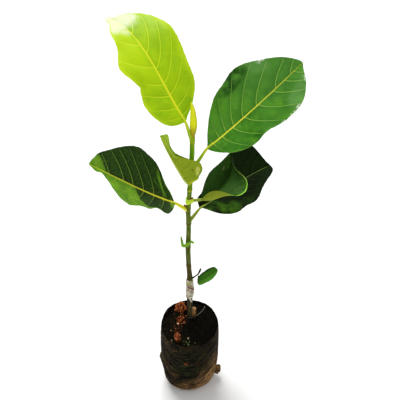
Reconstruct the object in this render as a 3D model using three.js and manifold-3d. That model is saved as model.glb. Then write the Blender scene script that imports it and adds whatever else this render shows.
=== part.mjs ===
// Potted jackfruit tree: a young grafted tree in a black nursery grow bag.
// Millimetres, +Z up, the middle of the bag's flat underside at the origin.
import * as THREE from 'three';
import { mergeVertices } from 'three/addons/utils/BufferGeometryUtils.js';
import Module from 'manifold-3d';

const wasm = await Module();
wasm.setup();

// Driving sizes of the bag and its fill
const TOUCH = 0.3; // clearance between neighbouring pieces
const RIM_HEIGHT = 143; // mean height of the bag's rim
const RIM_TILT = 6.5; // the back of the rim stands this much higher
const FILM = 1.2; // thickness of the bag's film
const SOIL_DROP = 4.5; // the soil lies this far below the rim
const SOIL_RINGS = 5;
const BAG_TURN = 17; // degrees, the long way of the oval plan
const BAG_SIDES = 36;
// Half sizes of the bag's oval plan at shares of its height
const BAG_PLAN = [
  { share: 0, across: 38.5, deep: 32 },
  { share: 0.02, across: 42, deep: 35.5 },
  { share: 0.06, across: 44.5, deep: 38.5 },
  { share: 0.14, across: 47, deep: 42 },
  { share: 0.28, across: 49.3, deep: 45.5 },
  { share: 0.34, across: 50, deep: 46.3 },
  { share: 0.39, across: 50.4, deep: 46.8 },
  { share: 0.44, across: 50.5, deep: 47 },
  { share: 0.62, across: 50.5, deep: 47.5 },
  { share: 0.82, across: 50, deep: 47.5 },
  { share: 1, across: 49, deep: 47 },
];
const MOUTH = BAG_PLAN.at(-1);
const BAG_FOOT = { x: 0, y: 1 }; // middle of the plan at the ground
const BAG_LEAN = { x: 1, y: -3 }; // how far the middle moves up to the rim
const SIDE_FOLD = { angle: 180, share: 0.39, out: 3.5, wide: 12, tall: 0.045 };
const CORNER = { at: [49.7, -2, 18.6], half: [7, 5, 8.8], spin: 0, square: 3.5 }; // the folded corner's ear

// Driving sizes of the stem: each node has a height, a sideways place and a radius
const STEM_Y = 16; // the stem stands behind the middle of the bag
const STEM_FOOT = 140.3;
const STEM_SWEEP = { back: 5, fades: 28 }; // the foot stands further back than the top
const STEM_NODES = [
  { z: STEM_FOOT, x: 2.4, r: 6.2 },
  { z: 146, x: 2.0, r: 5.1 },
  { z: 158, x: 1.6, r: 4.7 },
  { z: 175, x: 1.3, r: 4.6 },
  { z: 188, x: 1.5, r: 5.0 },
  { z: 208, x: 1.8, r: 4.8 },
  { z: 226, x: 2.0, r: 4.6 },
  { z: 236, x: 2.0, r: 4.4 },
  { z: 248, x: 1.3, r: 4.0 },
  { z: 258, x: 0.7, r: 4.1 },
  { z: 264, x: 0.5, r: 3.9 },
  { z: 290, x: 0.2, r: 4.0 },
  { z: 304, x: 0.5, r: 4.2 },
  { z: 318, x: 1.1, r: 3.8 },
  { z: 338, x: 1.6, r: 3.7 },
  { z: 347, x: 1.8, r: 4.1 },
  { z: 356, x: 1.4, r: 3.6 },
  { z: 370, x: 1.3, r: 3.8 },
  { z: 380, x: 2.3, r: 3.5 },
  { z: 397, x: 3.3, r: 3.5 },
  { z: 406, x: 3.9, r: 3.8 },
  { z: 414, x: 4.5, r: 3.5 },
  { z: 440, x: 6.2, r: 3.6 },
  { z: 461, x: 7.6, r: 3.5 },
  { z: 482, x: 8.3, r: 3.5 },
  { z: 490, x: 8.6, r: 3.8 },
  { z: 494, x: 8.9, r: 3.3 },
];
const STEM_SIDES = 12;
const BELOW_FOOT = { down: 3, back: 0.6 }; // a node under the flat cut
const PAD = { x: 5, y: 21, r: 9.5, deep: 20, sides: 36 }; // flat ground under the stem and the stub
const STUB = { path: [[7.2, 19.6, STEM_FOOT - 2], [8.2, 19.4, 148], [9, 19.2, 156]], radii: [4.3, 4.2, 3.3] };
const TAPE = { from: 187, to: 228, film: 0.9, ridge: 0.4, pitch: 6.2, sides: 14, rings: 14 };
const TAPE_KNOT = { z: 203, out: 1.3, tall: 11 }; // the wrap swells here on the right
const TAIL = { path: [[0.6, 12, 192], [2.4, 11.2, 186], [4.2, 12, 181], [5, 13.4, 177]], wide: 1.5 };
const BUD = {
  path: [
    [8.9, STEM_Y, 494], [10.1, STEM_Y, 509], [10.1, STEM_Y, 521],
    [9.7, STEM_Y, 530], [8.8, STEM_Y, 538], [7.5, STEM_Y, 544.5],
  ],
  radii: [3.2, 5.1, 4.6, 3.6, 2.3, 0.9],
  sides: 12,
  rings: 12,
};
const TWIG = {
  path: [
    [1.5, 16, 232], [6.6, 16, 231], [10, 16, 233.6],
    [16.2, 16, 240], [18.2, 16, 245], [20.6, 16, 252],
  ],
  radii: [2.8, 1.8, 1.2, 1.2, 1.7, 1.3],
};
const CLASPING_BRACT = {
  path: [
    [-10.4, 12, 321.5], [-9, 11.4, 311], [-7.4, 11, 303.6],
    [-1.3, 10.6, 306], [5, 12, 311], [10, 11.4, 308.5],
  ],
  radii: [0.9, 2.0, 2.3, 2.9, 2.1, 1.3],
};
const COLLAR = { from: 382.6, to: 391, out: 2.2, lobe: 1.4, lip: 0.15, sides: 12, rings: 4 };
const COLLAR_BUD = {
  path: [[5.4, 13.6, 391.6], [7.4, 12.4, 393.2], [9.4, 11.8, 395.6]],
  radii: [1.5, 1.3, 0.5],
};
const AXIL_BUD = {
  path: [[-1, 15.5, 377.4], [-3.2, 14.6, 378.2], [-4.8, 14, 381.4]],
  radii: [1.6, 1.4, 0.5],
};

// Driving sizes of what lies on the soil
const CLODS = {
  clay_clod_back: { at: [-15, 31, 145.5], half: [8.6, 8.4, 8], spin: 20 },
  clay_clod_front: { at: [-19, -28.5, 136.5], half: [4.2, 8.4, 5.2], spin: 10 },
  clay_clod_middle: { at: [-15, 9, 140.6], half: [5.4, 4.4, 3.4], spin: 40 },
};
const PEBBLE_HALF = [1, 0.8, 0.7]; // half sizes of a pebble as shares of its radius
const PEBBLES = [
  { at: [-19, 0], r: 1.9 },
  { at: [-30.5, -14], r: 1.6 },
  { at: [-28.5, -34], r: 1.9 },
  { at: [-0.6, -29.5], r: 2.0 },
];
const ROOTLET = { path: [[27.5, 36], [26.3, 31], [21.6, 23.6], [14.6, 16.6], [6, 12], [-2.5, 11.2]], r: 0.6 };

// Driving sizes of the leaves. A leaf's midrib starts at base, in compass degrees (0 along +X,
// 90 away from the front) and rise degrees, and both change along it by turn + swing and
// bend + hook. Roll and twist turn the blade about the midrib. Fold lifts a half of the blade,
// curl bends it on from there. Left and right are its half widths at even stations.
const LEAVES = {
  leaf_top_left: {
    base: [-0.6, 12.5, 517.5], long: 194,
    heading: 144.4, turn: -50.2, swing: 45.8, rise: 49.2, bend: 6.3, hook: -55,
    roll: -16.9, twist: 14, foldLeft: [6.9], foldRight: [13],
    curlLeft: [-11.7], curlRight: [4.1],
    left: [21.3, 34, 39.6, 35, 45.3, 32.5, 26.4, 13.5, 8.8],
    right: [6.5, 23.3, 37.8, 42.6, 48, 48.7, 39.4, 20.7, 1],
    ripple: 1.5, waves: 3, stalk: { z: 485, thick: 2.3, end: 1.8 },
    colour: 0xa8d01c, roughness: 0.4,
  },
  leaf_top_right: {
    base: [29.4, 17.2, 474.6], long: 170.1,
    heading: -0.1, turn: 18, swing: 1, rise: 42.6, bend: 4.3, hook: -5.8,
    roll: 27.4, twist: 7.5, foldLeft: [18.2], foldRight: [8.4],
    curlLeft: [11.5], curlRight: [-5.3],
    left: [6.1, 21, 38.7, 49.8, 55.7, 54.3, 39.6, 26.1, 11],
    right: [8.5, 22.2, 37.7, 44.7, 42.4, 46.4, 42, 26.1, 6.1],
    ripple: 1.5, waves: 4, stalk: { z: 438, thick: 2.4, end: 1.9 },
    colour: 0x3f8f2f, roughness: 0.45,
  },
  leaf_folded_front: {
    base: [2.7, 7.3, 421.1], long: 126.8,
    heading: 240.5, turn: 3.5, swing: -7.4, rise: 55.4, bend: 2.5, hook: 6.2,
    roll: -39.2, twist: 0.7, foldLeft: [79.5], foldRight: [87],
    curlLeft: [2.6], curlRight: [5.1],
    left: [14.5, 20.2, 27.8, 30, 17.7, 5.7, 4.7, 4.6, 1.9],
    right: [15.8, 26.2, 29.9, 25.8, 16, 8, 6.4, 8.8, 9.1],
    ripple: 0, waves: 0, stalk: { z: 416, thick: 1.8, end: 1.7 },
    colour: 0x8aa62a, roughness: 0.6,
  },
  leaf_lower_left: {
    base: [-18.1, 13.3, 384], long: 153.3,
    heading: 201.4, turn: -1.7, swing: 13.4, rise: 32.7, bend: 20.7, hook: -10.5,
    roll: -24.4, twist: -5, foldLeft: [12.4], foldRight: [20],
    curlLeft: [3.7], curlRight: [15.4],
    left: [6.5, 19.8, 31.8, 26.2, 37.1, 40.1, 46.5, 40.7, 8.7, 8.8, 4.9],
    right: [3.1, 12.1, 22.6, 36.8, 49.5, 55.6, 51.7, 42.3, 30, 20.2, 8],
    ripple: 1.5, waves: 3, stalk: { z: 369, thick: 2.6, end: 2.2 },
    colour: 0x3f7a24, roughness: 0.45,
  },
  leaf_lower_right: {
    base: [19, 27, 364.5], long: 169.2,
    heading: 47.9, turn: 6.2, swing: -18.2, rise: -0.4, bend: 10, hook: -9.4,
    roll: 26.4, twist: -9, foldLeft: [18.2], foldRight: [12.4],
    curlLeft: [17.3], curlRight: [5.6],
    left: [14.7, 19.2, 28.1, 37.9, 42.5, 50.1, 49.3, 45.9, 9.7],
    right: [2.7, 28, 43.2, 45, 47.1, 36.4, 27.1, 19.9, 11.3],
    ripple: 1.5, waves: 3, stalk: { z: 347, thick: 2.5, end: 1.7 },
    colour: 0x1c3f14, roughness: 0.45,
  },
  leaf_curled_right: {
    base: [20.7, 19.2, 386.2], long: 99.2,
    heading: 36.8, turn: -19.2, swing: 90, rise: -0.6, bend: 32.6, hook: 67.1,
    roll: 13.2, twist: -26.2, foldLeft: [50.9, 56.5, 26.1], foldRight: [0.2, 34.2, 41],
    curlLeft: [8.5, 14, 5.5], curlRight: [137.1, -32.5, 132.3],
    left: [5.5, 16.9, 26.6, 31.8, 31.7, 29, 23.3, 14.5, 7.3],
    right: [26.3, 41.9, 49, 49, 48.8, 40.5, 22.9, 10.1, 3],
    ripple: 0, waves: 0, stalk: { z: 386, thick: 2.4, end: 2.0 },
    colour: 0x2c5f1f, roughness: 0.45,
  },
  leaf_small_low: {
    base: [15.5, 11, 224.1], long: 41.5,
    heading: 2.7, turn: 9, swing: 1.5, rise: 31.7, bend: 12.9, hook: 3.1,
    roll: 12.9, twist: -0.3, foldLeft: [13.8], foldRight: [15.8],
    curlLeft: [2.9], curlRight: [4.3],
    left: [7.2, 9.9, 12.4, 12.3, 11.6, 9.7, 6.8],
    right: [6.3, 8.4, 9.7, 11.4, 10.7, 8.7, 5.5],
    ripple: 0.5, waves: 2, stalk: { from: [16.4, 15.2, 236.5], thick: 0.8, end: 0.8 },
    colour: 0x3a8420, roughness: 0.5,
  },
};
const BLADE_ROWS = 14;
const SMALL_BLADE_ROWS = 8; // on a leaf shorter than SMALL_LEAF
const SMALL_LEAF = 60;
const BLADE_COLUMNS = 8;
const BLADE_TIP = 1.2; // half width left at the two ends of a blade
const BLADE_THICK = { least: 1.2, share: 1 / 90 }; // share of the leaf's length
const STALK_SIDES = 6;
const STALK_FOOT = 1.25; // the stalk is this much thicker at the stem
const STALK_BEND = 0.55; // share of the way to the blade where the stalk may bend
const RIB_REACH = 0.8; // share of the midrib that stands out below the blade
const RIB_STEPS = 5;

const degrees = THREE.MathUtils.degToRad;
const clamp = THREE.MathUtils.clamp;
const plant = new THREE.Group();
const HIGH = 500; // a block this size reaches past the stem's top

// A closed body from a geometry, with its shared vertices merged
function bodyOf(geometry) {
  const bare = geometry.clone();
  bare.deleteAttribute('normal');
  bare.deleteAttribute('uv');
  const merged = mergeVertices(bare, 1e-4);
  const corners = merged.index.array;
  const kept = [];
  for (let i = 0; i < corners.length; i += 3) {
    const [a, b, c] = [corners[i], corners[i + 1], corners[i + 2]];
    if (a !== b && b !== c && c !== a) kept.push(a, b, c);
  }
  const mesh = new wasm.Mesh({
    numProp: 3,
    vertProperties: new Float32Array(merged.attributes.position.array),
    triVerts: new Uint32Array(kept),
  });
  return new wasm.Manifold(mesh);
}

function addNode(name, body, colour, roughness, metalness = 0) {
  const mesh = body.getMesh();
  const geometry = new THREE.BufferGeometry();
  geometry.setAttribute('position', new THREE.BufferAttribute(mesh.vertProperties, 3));
  geometry.setIndex(new THREE.BufferAttribute(mesh.triVerts, 1));
  geometry.computeVertexNormals();
  const material = new THREE.MeshStandardMaterial({ color: colour, roughness, metalness });
  const node = new THREE.Mesh(geometry, material);
  node.name = name;
  plant.add(node);
}

// All the room above a height, for flat cuts
function roomAbove(height) {
  const geometry = new THREE.BoxGeometry(HIGH, HIGH, HIGH);
  geometry.translate(0, 0, height + HIGH / 2);
  return bodyOf(geometry);
}

// An upright drum between two heights
function drumBody({ x, y, r, sides }, low, high) {
  const geometry = new THREE.CylinderGeometry(r, r, high - low, sides);
  geometry.rotateX(Math.PI / 2);
  geometry.translate(x, y, (low + high) / 2);
  return bodyOf(geometry);
}

// A smooth run through values at even steps, read at a share from 0 to 1
function along(values, share) {
  const last = values.length - 1;
  if (last === 0) return values[0];
  const place = clamp(share, 0, 1) * last;
  const i = Math.min(Math.floor(place), last - 1);
  const f = place - i;
  const b = values[i];
  const c = values[i + 1];
  const a = i > 0 ? values[i - 1] : 2 * b - c;
  const d = i < last - 1 ? values[i + 2] : 2 * c - b;
  const square = 2 * a - 5 * b + 4 * c - d;
  const cube = 3 * b - a - 3 * c + d;
  return b + 0.5 * ((c - a) * f + square * f * f + cube * f ** 3);
}

// A straight run through rows of a table, read at a value of its first column
function between(rows, key, value, column) {
  let i = 0;
  while (i < rows.length - 2 && rows[i + 1][key] < value) i += 1;
  const f = clamp((value - rows[i][key]) / (rows[i + 1][key] - rows[i][key]), 0, 1);
  return rows[i][column] + (rows[i + 1][column] - rows[i][column]) * f;
}

// A limb: the rings of a cylinder set along a path, with a rule for the radius
function limb(path, radiusAt, sides, rings, flat = 1) {
  const geometry = new THREE.CylinderGeometry(1, 1, 1, sides, rings);
  const position = geometry.attributes.position;
  const away = new THREE.Vector3(0, 1, 0);
  for (let i = 0; i < position.count; i += 1) {
    const share = position.getY(i) + 0.5;
    const across = new THREE.Vector2(position.getX(i), position.getZ(i));
    const turned = Math.atan2(across.y, across.x);
    const tangent = path.getTangent(share);
    const side = new THREE.Vector3().crossVectors(tangent, away).normalize();
    const up = new THREE.Vector3().crossVectors(side, tangent);
    const reach = radiusAt(share, turned);
    const point = path.getPoint(share);
    point.addScaledVector(side, across.x * reach);
    point.addScaledVector(up, across.y * reach * flat);
    position.setXYZ(i, point.x, point.y, point.z);
  }
  return bodyOf(geometry);
}

function pathThrough(points) {
  return new THREE.CatmullRomCurve3(points.map((p) => new THREE.Vector3(...p)), false, 'centripetal');
}

// The height of the bag's rim, and its wall at a share of that height, brought in by an inset
function rimHeight(angle) {
  const wavy = Math.sin(3 * angle + 0.6) + 0.7 * Math.sin(5 * angle + 2);
  return RIM_HEIGHT + RIM_TILT * Math.sin(angle) + wavy;
}

function bagMiddle(share) {
  return { x: BAG_FOOT.x + BAG_LEAN.x * share, y: BAG_FOOT.y + BAG_LEAN.y * share };
}

function bagWall(angle, share, inset) {
  const turn = degrees(BAG_TURN);
  const slack = 0.5 * Math.sin(3 * angle + 3 * share) + 0.35 * Math.sin(7 * angle - 4 * share);
  const away = angle - degrees(SIDE_FOLD.angle);
  const round = Math.atan2(Math.sin(away), Math.cos(away)) / degrees(SIDE_FOLD.wide);
  const level = (share - SIDE_FOLD.share) / SIDE_FOLD.tall;
  const fold = SIDE_FOLD.out * Math.exp(-round * round - level * level);
  const bulge = slack * Math.min(share, 1) + fold - inset;
  const across = (between(BAG_PLAN, 'share', share, 'across') + bulge) * Math.cos(angle - turn);
  const deep = (between(BAG_PLAN, 'share', share, 'deep') + bulge) * Math.sin(angle - turn);
  const middle = bagMiddle(share);
  return {
    x: middle.x + across * Math.cos(turn) - deep * Math.sin(turn),
    y: middle.y + across * Math.sin(turn) + deep * Math.cos(turn),
  };
}

// A filled sack: the bag's wall from a floor up to a top share, closed by a lid of rings
function sack({ inset, floor, topShare, lidRings, lidHeight }) {
  const wall = [floor / RIM_HEIGHT];
  BAG_PLAN.forEach((row) => {
    if (row.share * RIM_HEIGHT > floor + 0.5) wall.push(row.share);
  });
  const last = wall.length - 1;
  const outline = [new THREE.Vector2(0, 0)];
  for (let row = 0; row <= last; row += 1) outline.push(new THREE.Vector2(1, row));
  for (let ring = 1; ring <= lidRings; ring += 1) {
    outline.push(new THREE.Vector2(1 - ring / lidRings, last + ring));
  }
  const geometry = new THREE.LatheGeometry(outline, BAG_SIDES);
  const position = geometry.attributes.position;
  for (let i = 0; i < position.count; i += 1) {
    const reach = Math.hypot(position.getX(i), position.getZ(i));
    const angle = reach > 0 ? Math.atan2(-position.getZ(i), position.getX(i)) : 0;
    const row = position.getY(i);
    const share = row < last ? wall[row] : topShare(angle);
    const edge = bagWall(angle, share, inset);
    const middle = bagMiddle(share);
    const x = middle.x + (edge.x - middle.x) * reach;
    const y = middle.y + (edge.y - middle.y) * reach;
    const level = row === 0 ? floor : share * rimHeight(angle);
    const z = row > last ? lidHeight(x, y, reach) : level;
    position.setXYZ(i, x, y, z);
  }
  return bodyOf(geometry);
}

// The plane of the rim, and the soil's surface below it with lumps that die out at the wall
function rimPlane(x, y) {
  return RIM_HEIGHT + (RIM_TILT * y) / MOUTH.deep;
}

function soilHeight(x, y, reach) {
  const lumps = Math.sin(x / 7 + 1) * Math.cos(y / 6) + 0.6 * Math.sin(x / 3.1 + y / 4.3);
  return rimPlane(x, y) - SOIL_DROP + lumps * (1 - reach ** 4);
}

function soilUnder(x, y) {
  const middle = bagMiddle(1);
  return soilHeight(x, y, Math.min(1, Math.hypot(x - middle.x, y - middle.y) / MOUTH.across));
}

// The stem's centre and radius at a height
function stemAt(z) {
  const back = STEM_SWEEP.back * Math.exp(-(z - STEM_FOOT) / STEM_SWEEP.fades);
  return {
    point: [between(STEM_NODES, 'z', z, 'x'), STEM_Y + back, z],
    r: between(STEM_NODES, 'z', z, 'r'),
  };
}

// The stem with its flat cut at the ground: a node below it keeps the flare's slope to the cut
function stemBody(extra) {
  const [x, y, z] = stemAt(STEM_FOOT).point;
  const below = [x, y + BELOW_FOOT.back, z - BELOW_FOOT.down];
  const path = pathThrough([below, ...STEM_NODES.map((node) => stemAt(node.z).point)]);
  const radii = [STEM_NODES[0].r, ...STEM_NODES.map((node) => node.r)];
  const radiusAt = (share) => along(radii, share) + extra;
  return limb(path, radiusAt, STEM_SIDES, STEM_NODES.length).intersect(roomAbove(STEM_FOOT));
}

// A ring about the stem between two heights, whose surface stands out by a rule
function sleeveBody({ from, to, sides, rings }, standsOut) {
  const heights = [0, 1, 2, 3, 4].map((i) => from + ((to - from) * i) / 4);
  const path = pathThrough(heights.map((z) => stemAt(z).point));
  const reach = (share, angle) => {
    const z = from + (to - from) * share;
    return stemAt(z).r + standsOut(z, angle);
  };
  return limb(path, reach, sides, rings);
}

function taperedLimb({ path, radii }, extra, sides, rings, flat = 1) {
  return limb(pathThrough(path), (share) => along(radii, share) + extra, sides, rings, flat);
}

// A leaf's midrib: points and frames (along, left, up) at a share of its length
function leafFrame(leaf, share) {
  const rise = degrees(leaf.rise + leaf.bend * share + leaf.hook * share * share);
  const heading = degrees(leaf.heading + leaf.turn * share + leaf.swing * share * share);
  const roll = degrees(leaf.roll + leaf.twist * share);
  const ahead = new THREE.Vector3(
    Math.cos(rise) * Math.cos(heading),
    Math.cos(rise) * Math.sin(heading),
    Math.sin(rise),
  );
  const left = new THREE.Vector3(-Math.sin(heading), Math.cos(heading), 0);
  const up = new THREE.Vector3().crossVectors(ahead, left);
  left.applyAxisAngle(ahead, roll);
  up.applyAxisAngle(ahead, roll);
  return { ahead, left, up };
}

function midribOf(leaf) {
  const steps = 100;
  const points = [new THREE.Vector3(...leaf.base)];
  for (let i = 0; i < steps; i += 1) {
    const { ahead } = leafFrame(leaf, (i + 0.5) / steps);
    points.push(points[i].clone().addScaledVector(ahead, leaf.long / steps));
  }
  return (share) => {
    const i = Math.min(Math.floor(share * steps), steps - 1);
    return points[i].clone().lerp(points[i + 1], share * steps - i);
  };
}

// A point of the blade: share along the midrib, across from -1 (right margin) to 1 (left margin)
function bladePoint(leaf, midrib, share, across) {
  const isLeft = across >= 0;
  const out = Math.abs(across);
  const { left, up } = leafFrame(leaf, share);
  const station = Math.acos(1 - 2 * share) / Math.PI;
  const widths = [0, ...(isLeft ? leaf.left : leaf.right), 0];
  const wide = Math.max(along(widths, station), BLADE_TIP);
  const fold = degrees(along(isLeft ? leaf.foldLeft : leaf.foldRight, share));
  const curl = degrees(along(isLeft ? leaf.curlLeft : leaf.curlRight, share));
  const steps = 12;
  let sideways = 0;
  let lift = 0;
  for (let i = 0; i < steps; i += 1) {
    const lean = fold + (curl * out * (i + 0.5)) / steps;
    sideways += (Math.cos(lean) * out * wide) / steps;
    lift += (Math.sin(lean) * out * wide) / steps;
  }
  const wave = Math.sin(2 * Math.PI * (leaf.waves * share + (isLeft ? 0 : 0.4)));
  lift += leaf.ripple * wave * out * out * Math.sin(Math.PI * share);
  return midrib(share).addScaledVector(left, isLeft ? sideways : -sideways).addScaledVector(up, lift);
}

// The blade as a bent box: its top face lies on the rule, its thickness hangs below
function bladeBody(leaf) {
  const midrib = midribOf(leaf);
  const thick = Math.max(leaf.long * BLADE_THICK.share, BLADE_THICK.least);
  const rows = leaf.long < SMALL_LEAF ? SMALL_BLADE_ROWS : BLADE_ROWS;
  const geometry = new THREE.BoxGeometry(1, 2, 1, rows, BLADE_COLUMNS, 1);
  const position = geometry.attributes.position;
  const small = 0.004;
  for (let i = 0; i < position.count; i += 1) {
    const share = (1 - Math.cos(Math.PI * (position.getX(i) + 0.5))) / 2;
    const across = position.getY(i);
    const point = bladePoint(leaf, midrib, share, across);
    if (position.getZ(i) < 0) {
      const s = clamp(share, small, 1 - small);
      const q = clamp(across, small - 1, 1 - small);
      const forward = bladePoint(leaf, midrib, s + small, q).sub(bladePoint(leaf, midrib, s - small, q));
      const sideways = bladePoint(leaf, midrib, s, q + small).sub(bladePoint(leaf, midrib, s, q - small));
      point.addScaledVector(forward.cross(sideways).normalize(), -thick);
    }
    position.setXYZ(i, point.x, point.y, point.z);
  }
  return bodyOf(geometry);
}

// The stalk from the stem to the blade, run on below the blade as its rib
function stalkBody(leaf, extra) {
  const midrib = midribOf(leaf);
  const start = leaf.stalk.from ?? stemAt(leaf.stalk.z).point;
  const bend = new THREE.Vector3(...start).lerp(new THREE.Vector3(...leaf.base), STALK_BEND);
  const points = [start, bend.toArray(), leaf.base];
  const radii = [leaf.stalk.thick * STALK_FOOT, leaf.stalk.thick, leaf.stalk.end];
  for (let i = 1; i <= RIB_STEPS; i += 1) {
    const share = (RIB_REACH * i) / RIB_STEPS;
    const below = leafFrame(leaf, share).up.multiplyScalar(-0.5 * leaf.stalk.end);
    points.push(midrib(share).add(below).toArray());
    radii.push(leaf.stalk.end * (1 - 0.5 * share));
  }
  return taperedLimb({ path: points, radii }, extra, STALK_SIDES, 2 * (points.length - 1));
}

// An uneven lump with flat facets: an ellipsoid at square 2, and boxier above that
function lumpBody({ at, half, spin, square = 2 }, detail) {
  const geometry = new THREE.IcosahedronGeometry(1, detail);
  const position = geometry.attributes.position;
  for (let i = 0; i < position.count; i += 1) {
    const [x, y, z] = [position.getX(i), position.getY(i), position.getZ(i)];
    const full = (Math.abs(x) ** square + Math.abs(y) ** square + Math.abs(z) ** square) ** (-1 / square);
    const rough = full * (1 + 0.12 * Math.sin(5 * x + 3 * y) * Math.cos(4 * z + y));
    position.setXYZ(i, x * half[0] * rough, y * half[1] * rough, z * half[2] * rough);
  }
  geometry.rotateZ(degrees(spin));
  geometry.translate(...at);
  return bodyOf(geometry);
}

// The bag: a skin around a cavity, with the folded bottom corner that sticks out on the right
const PAST_RIM = 1.06; // the cavity runs out through the mouth
const skin = sack({ inset: 0, floor: 0, topShare: () => 1, lidRings: 1, lidHeight: rimPlane });
const cavity = sack({
  inset: FILM,
  floor: FILM,
  topShare: () => PAST_RIM,
  lidRings: 1,
  lidHeight: (x, y) => PAST_RIM * rimPlane(x, y),
});
const corner = lumpBody(CORNER, 1);
addNode('grow_bag', skin.add(corner).subtract(cavity), 0x2a2620, 0.55);

// The soil fill, with flat ground under the stem
const soilShare = (angle) => 1 - SOIL_DROP / rimHeight(angle);
const fill = sack({
  inset: FILM + TOUCH,
  floor: FILM + TOUCH,
  topShare: soilShare,
  lidRings: SOIL_RINGS,
  lidHeight: soilHeight,
});
const ground = STEM_FOOT - TOUCH;
const pad = drumBody(PAD, ground - PAD.deep, ground);
const clearing = drumBody(PAD, ground, ground + PAD.deep);
const soil = fill.add(pad).subtract(clearing);
addNode('soil', soil, 0x14110d, 1);

// The stem and what is wrapped round it
const stem = stemBody(0);
const stemRoom = stemBody(TOUCH);
addNode('stem', stem, 0x5b6b25, 0.65);
const stub = taperedLimb(STUB, 0, 10, 4);
addNode('rootstock_stub', stub.intersect(roomAbove(STEM_FOOT)).subtract(stemRoom), 0xa98a55, 0.8);
const tapeOut = (extra) => (z, angle) => {
  const ridge = TAPE.ridge * Math.sin(angle + (2 * Math.PI * z) / TAPE.pitch);
  const level = (z - TAPE_KNOT.z) / TAPE_KNOT.tall;
  const knot = TAPE_KNOT.out * Math.max(-Math.cos(angle), 0) * Math.exp(-level * level);
  return extra + TAPE.film + ridge + knot;
};
const wrap = sleeveBody(TAPE, tapeOut(TOUCH));
const wrapRoom = sleeveBody(TAPE, tapeOut(2 * TOUCH));
const tail = taperedLimb({ path: TAIL.path, radii: TAIL.path.map(() => TAIL.wide) }, 0, 8, 8, 0.6);
addNode('graft_tape', wrap.add(tail).subtract(stemRoom), 0xb9b094, 0.35);
const aboveStem = roomAbove(STEM_NODES.at(-1).z + 2 * TOUCH);
const budBody = (extra) => taperedLimb(BUD, extra, BUD.sides, BUD.rings);
addNode('terminal_bud', budBody(0).intersect(aboveStem), 0xb5b524, 0.5);
const twig = taperedLimb(TWIG, 0, 8, 10).subtract(stemRoom).subtract(wrapRoom);
addNode('low_side_twig', twig, 0x4a4a26, 0.75);
addNode('clasping_bract', taperedLimb(CLASPING_BRACT, 0, 8, 12).subtract(stemRoom), 0x5f9a1e, 0.55);

// The pale collar at the curled leaf's node, the buds, and the leaves
const collarOut = (extra) => (z, angle) => {
  const share = clamp((z - COLLAR.from) / (COLLAR.to - COLLAR.from), COLLAR.lip, 1 - COLLAR.lip);
  const belly = COLLAR.out * Math.sin(Math.PI * share);
  return extra + belly + COLLAR.lobe * Math.cos(3 * angle);
};
const collarRoom = sleeveBody(COLLAR, collarOut(2 * TOUCH));
addNode('bract_collar', sleeveBody(COLLAR, collarOut(TOUCH)).subtract(stemRoom), 0xa8c93a, 0.55);
const twigRoom = taperedLimb(TWIG, TOUCH, 8, 10);
const room = stemRoom.add(collarRoom).add(twigRoom).add(budBody(TOUCH));
Object.entries(LEAVES).forEach(([name, leaf]) => {
  const body = bladeBody(leaf).add(stalkBody(leaf, 0)).subtract(room);
  addNode(name, body, leaf.colour, leaf.roughness);
});
const curledStalk = stalkBody(LEAVES.leaf_curled_right, TOUCH);
const lowerStalk = stalkBody(LEAVES.leaf_lower_left, TOUCH);
addNode('collar_bud', taperedLimb(COLLAR_BUD, 0, 8, 4).subtract(room).subtract(curledStalk), 0x6b3a20, 0.6);
addNode('axil_bud', taperedLimb(AXIL_BUD, 0, 8, 4).subtract(room).subtract(lowerStalk), 0x3a3a20, 0.6);

// What lies on the soil: clay clods, pebbles and one thin rootlet
const soilRoom = soil.translate([0, 0, TOUCH]);
Object.entries(CLODS).forEach(([name, clod]) => {
  addNode(name, lumpBody(clod, 1).subtract(soilRoom).subtract(stemRoom), 0xb4552a, 0.95);
});
PEBBLES.forEach((pebble, i) => {
  const [x, y] = pebble.at;
  const half = PEBBLE_HALF.map((share) => share * pebble.r);
  const lump = lumpBody({ at: [x, y, soilUnder(x, y) + half[2] / 2], half, spin: 40 * i }, 0);
  addNode(`pebble_${i + 1}`, lump.subtract(soilRoom), 0xb7a78a, 0.9);
});
const rootPoints = ROOTLET.path.map(([x, y]) => [x, y, soilUnder(x, y) + TOUCH + 1.2 * ROOTLET.r]);
const rootlet = limb(pathThrough(rootPoints), () => ROOTLET.r, 6, 20);
addNode('surface_rootlet', rootlet.subtract(soilRoom), 0xa79a86, 0.8);

export default plant;
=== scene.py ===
# Potted jackfruit tree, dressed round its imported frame.
# Sizes are millimetres and degrees, in the frame's axes, and become metres when a mesh is made.
import math

import bmesh
import bpy
import numpy as np
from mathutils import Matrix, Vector, noise


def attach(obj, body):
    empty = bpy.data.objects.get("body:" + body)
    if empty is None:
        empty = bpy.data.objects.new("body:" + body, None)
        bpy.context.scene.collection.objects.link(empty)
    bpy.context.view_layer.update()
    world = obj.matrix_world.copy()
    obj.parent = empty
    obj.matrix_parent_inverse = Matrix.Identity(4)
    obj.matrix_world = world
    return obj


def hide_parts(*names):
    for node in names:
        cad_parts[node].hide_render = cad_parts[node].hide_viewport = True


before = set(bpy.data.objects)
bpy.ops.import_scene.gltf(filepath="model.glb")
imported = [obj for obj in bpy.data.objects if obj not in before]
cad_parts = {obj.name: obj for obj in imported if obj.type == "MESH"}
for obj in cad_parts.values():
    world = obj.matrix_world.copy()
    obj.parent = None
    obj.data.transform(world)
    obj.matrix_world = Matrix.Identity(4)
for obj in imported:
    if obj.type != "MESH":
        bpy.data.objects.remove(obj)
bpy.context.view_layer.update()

MM = 0.001
FULL_TURN = 2 * math.pi

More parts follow.
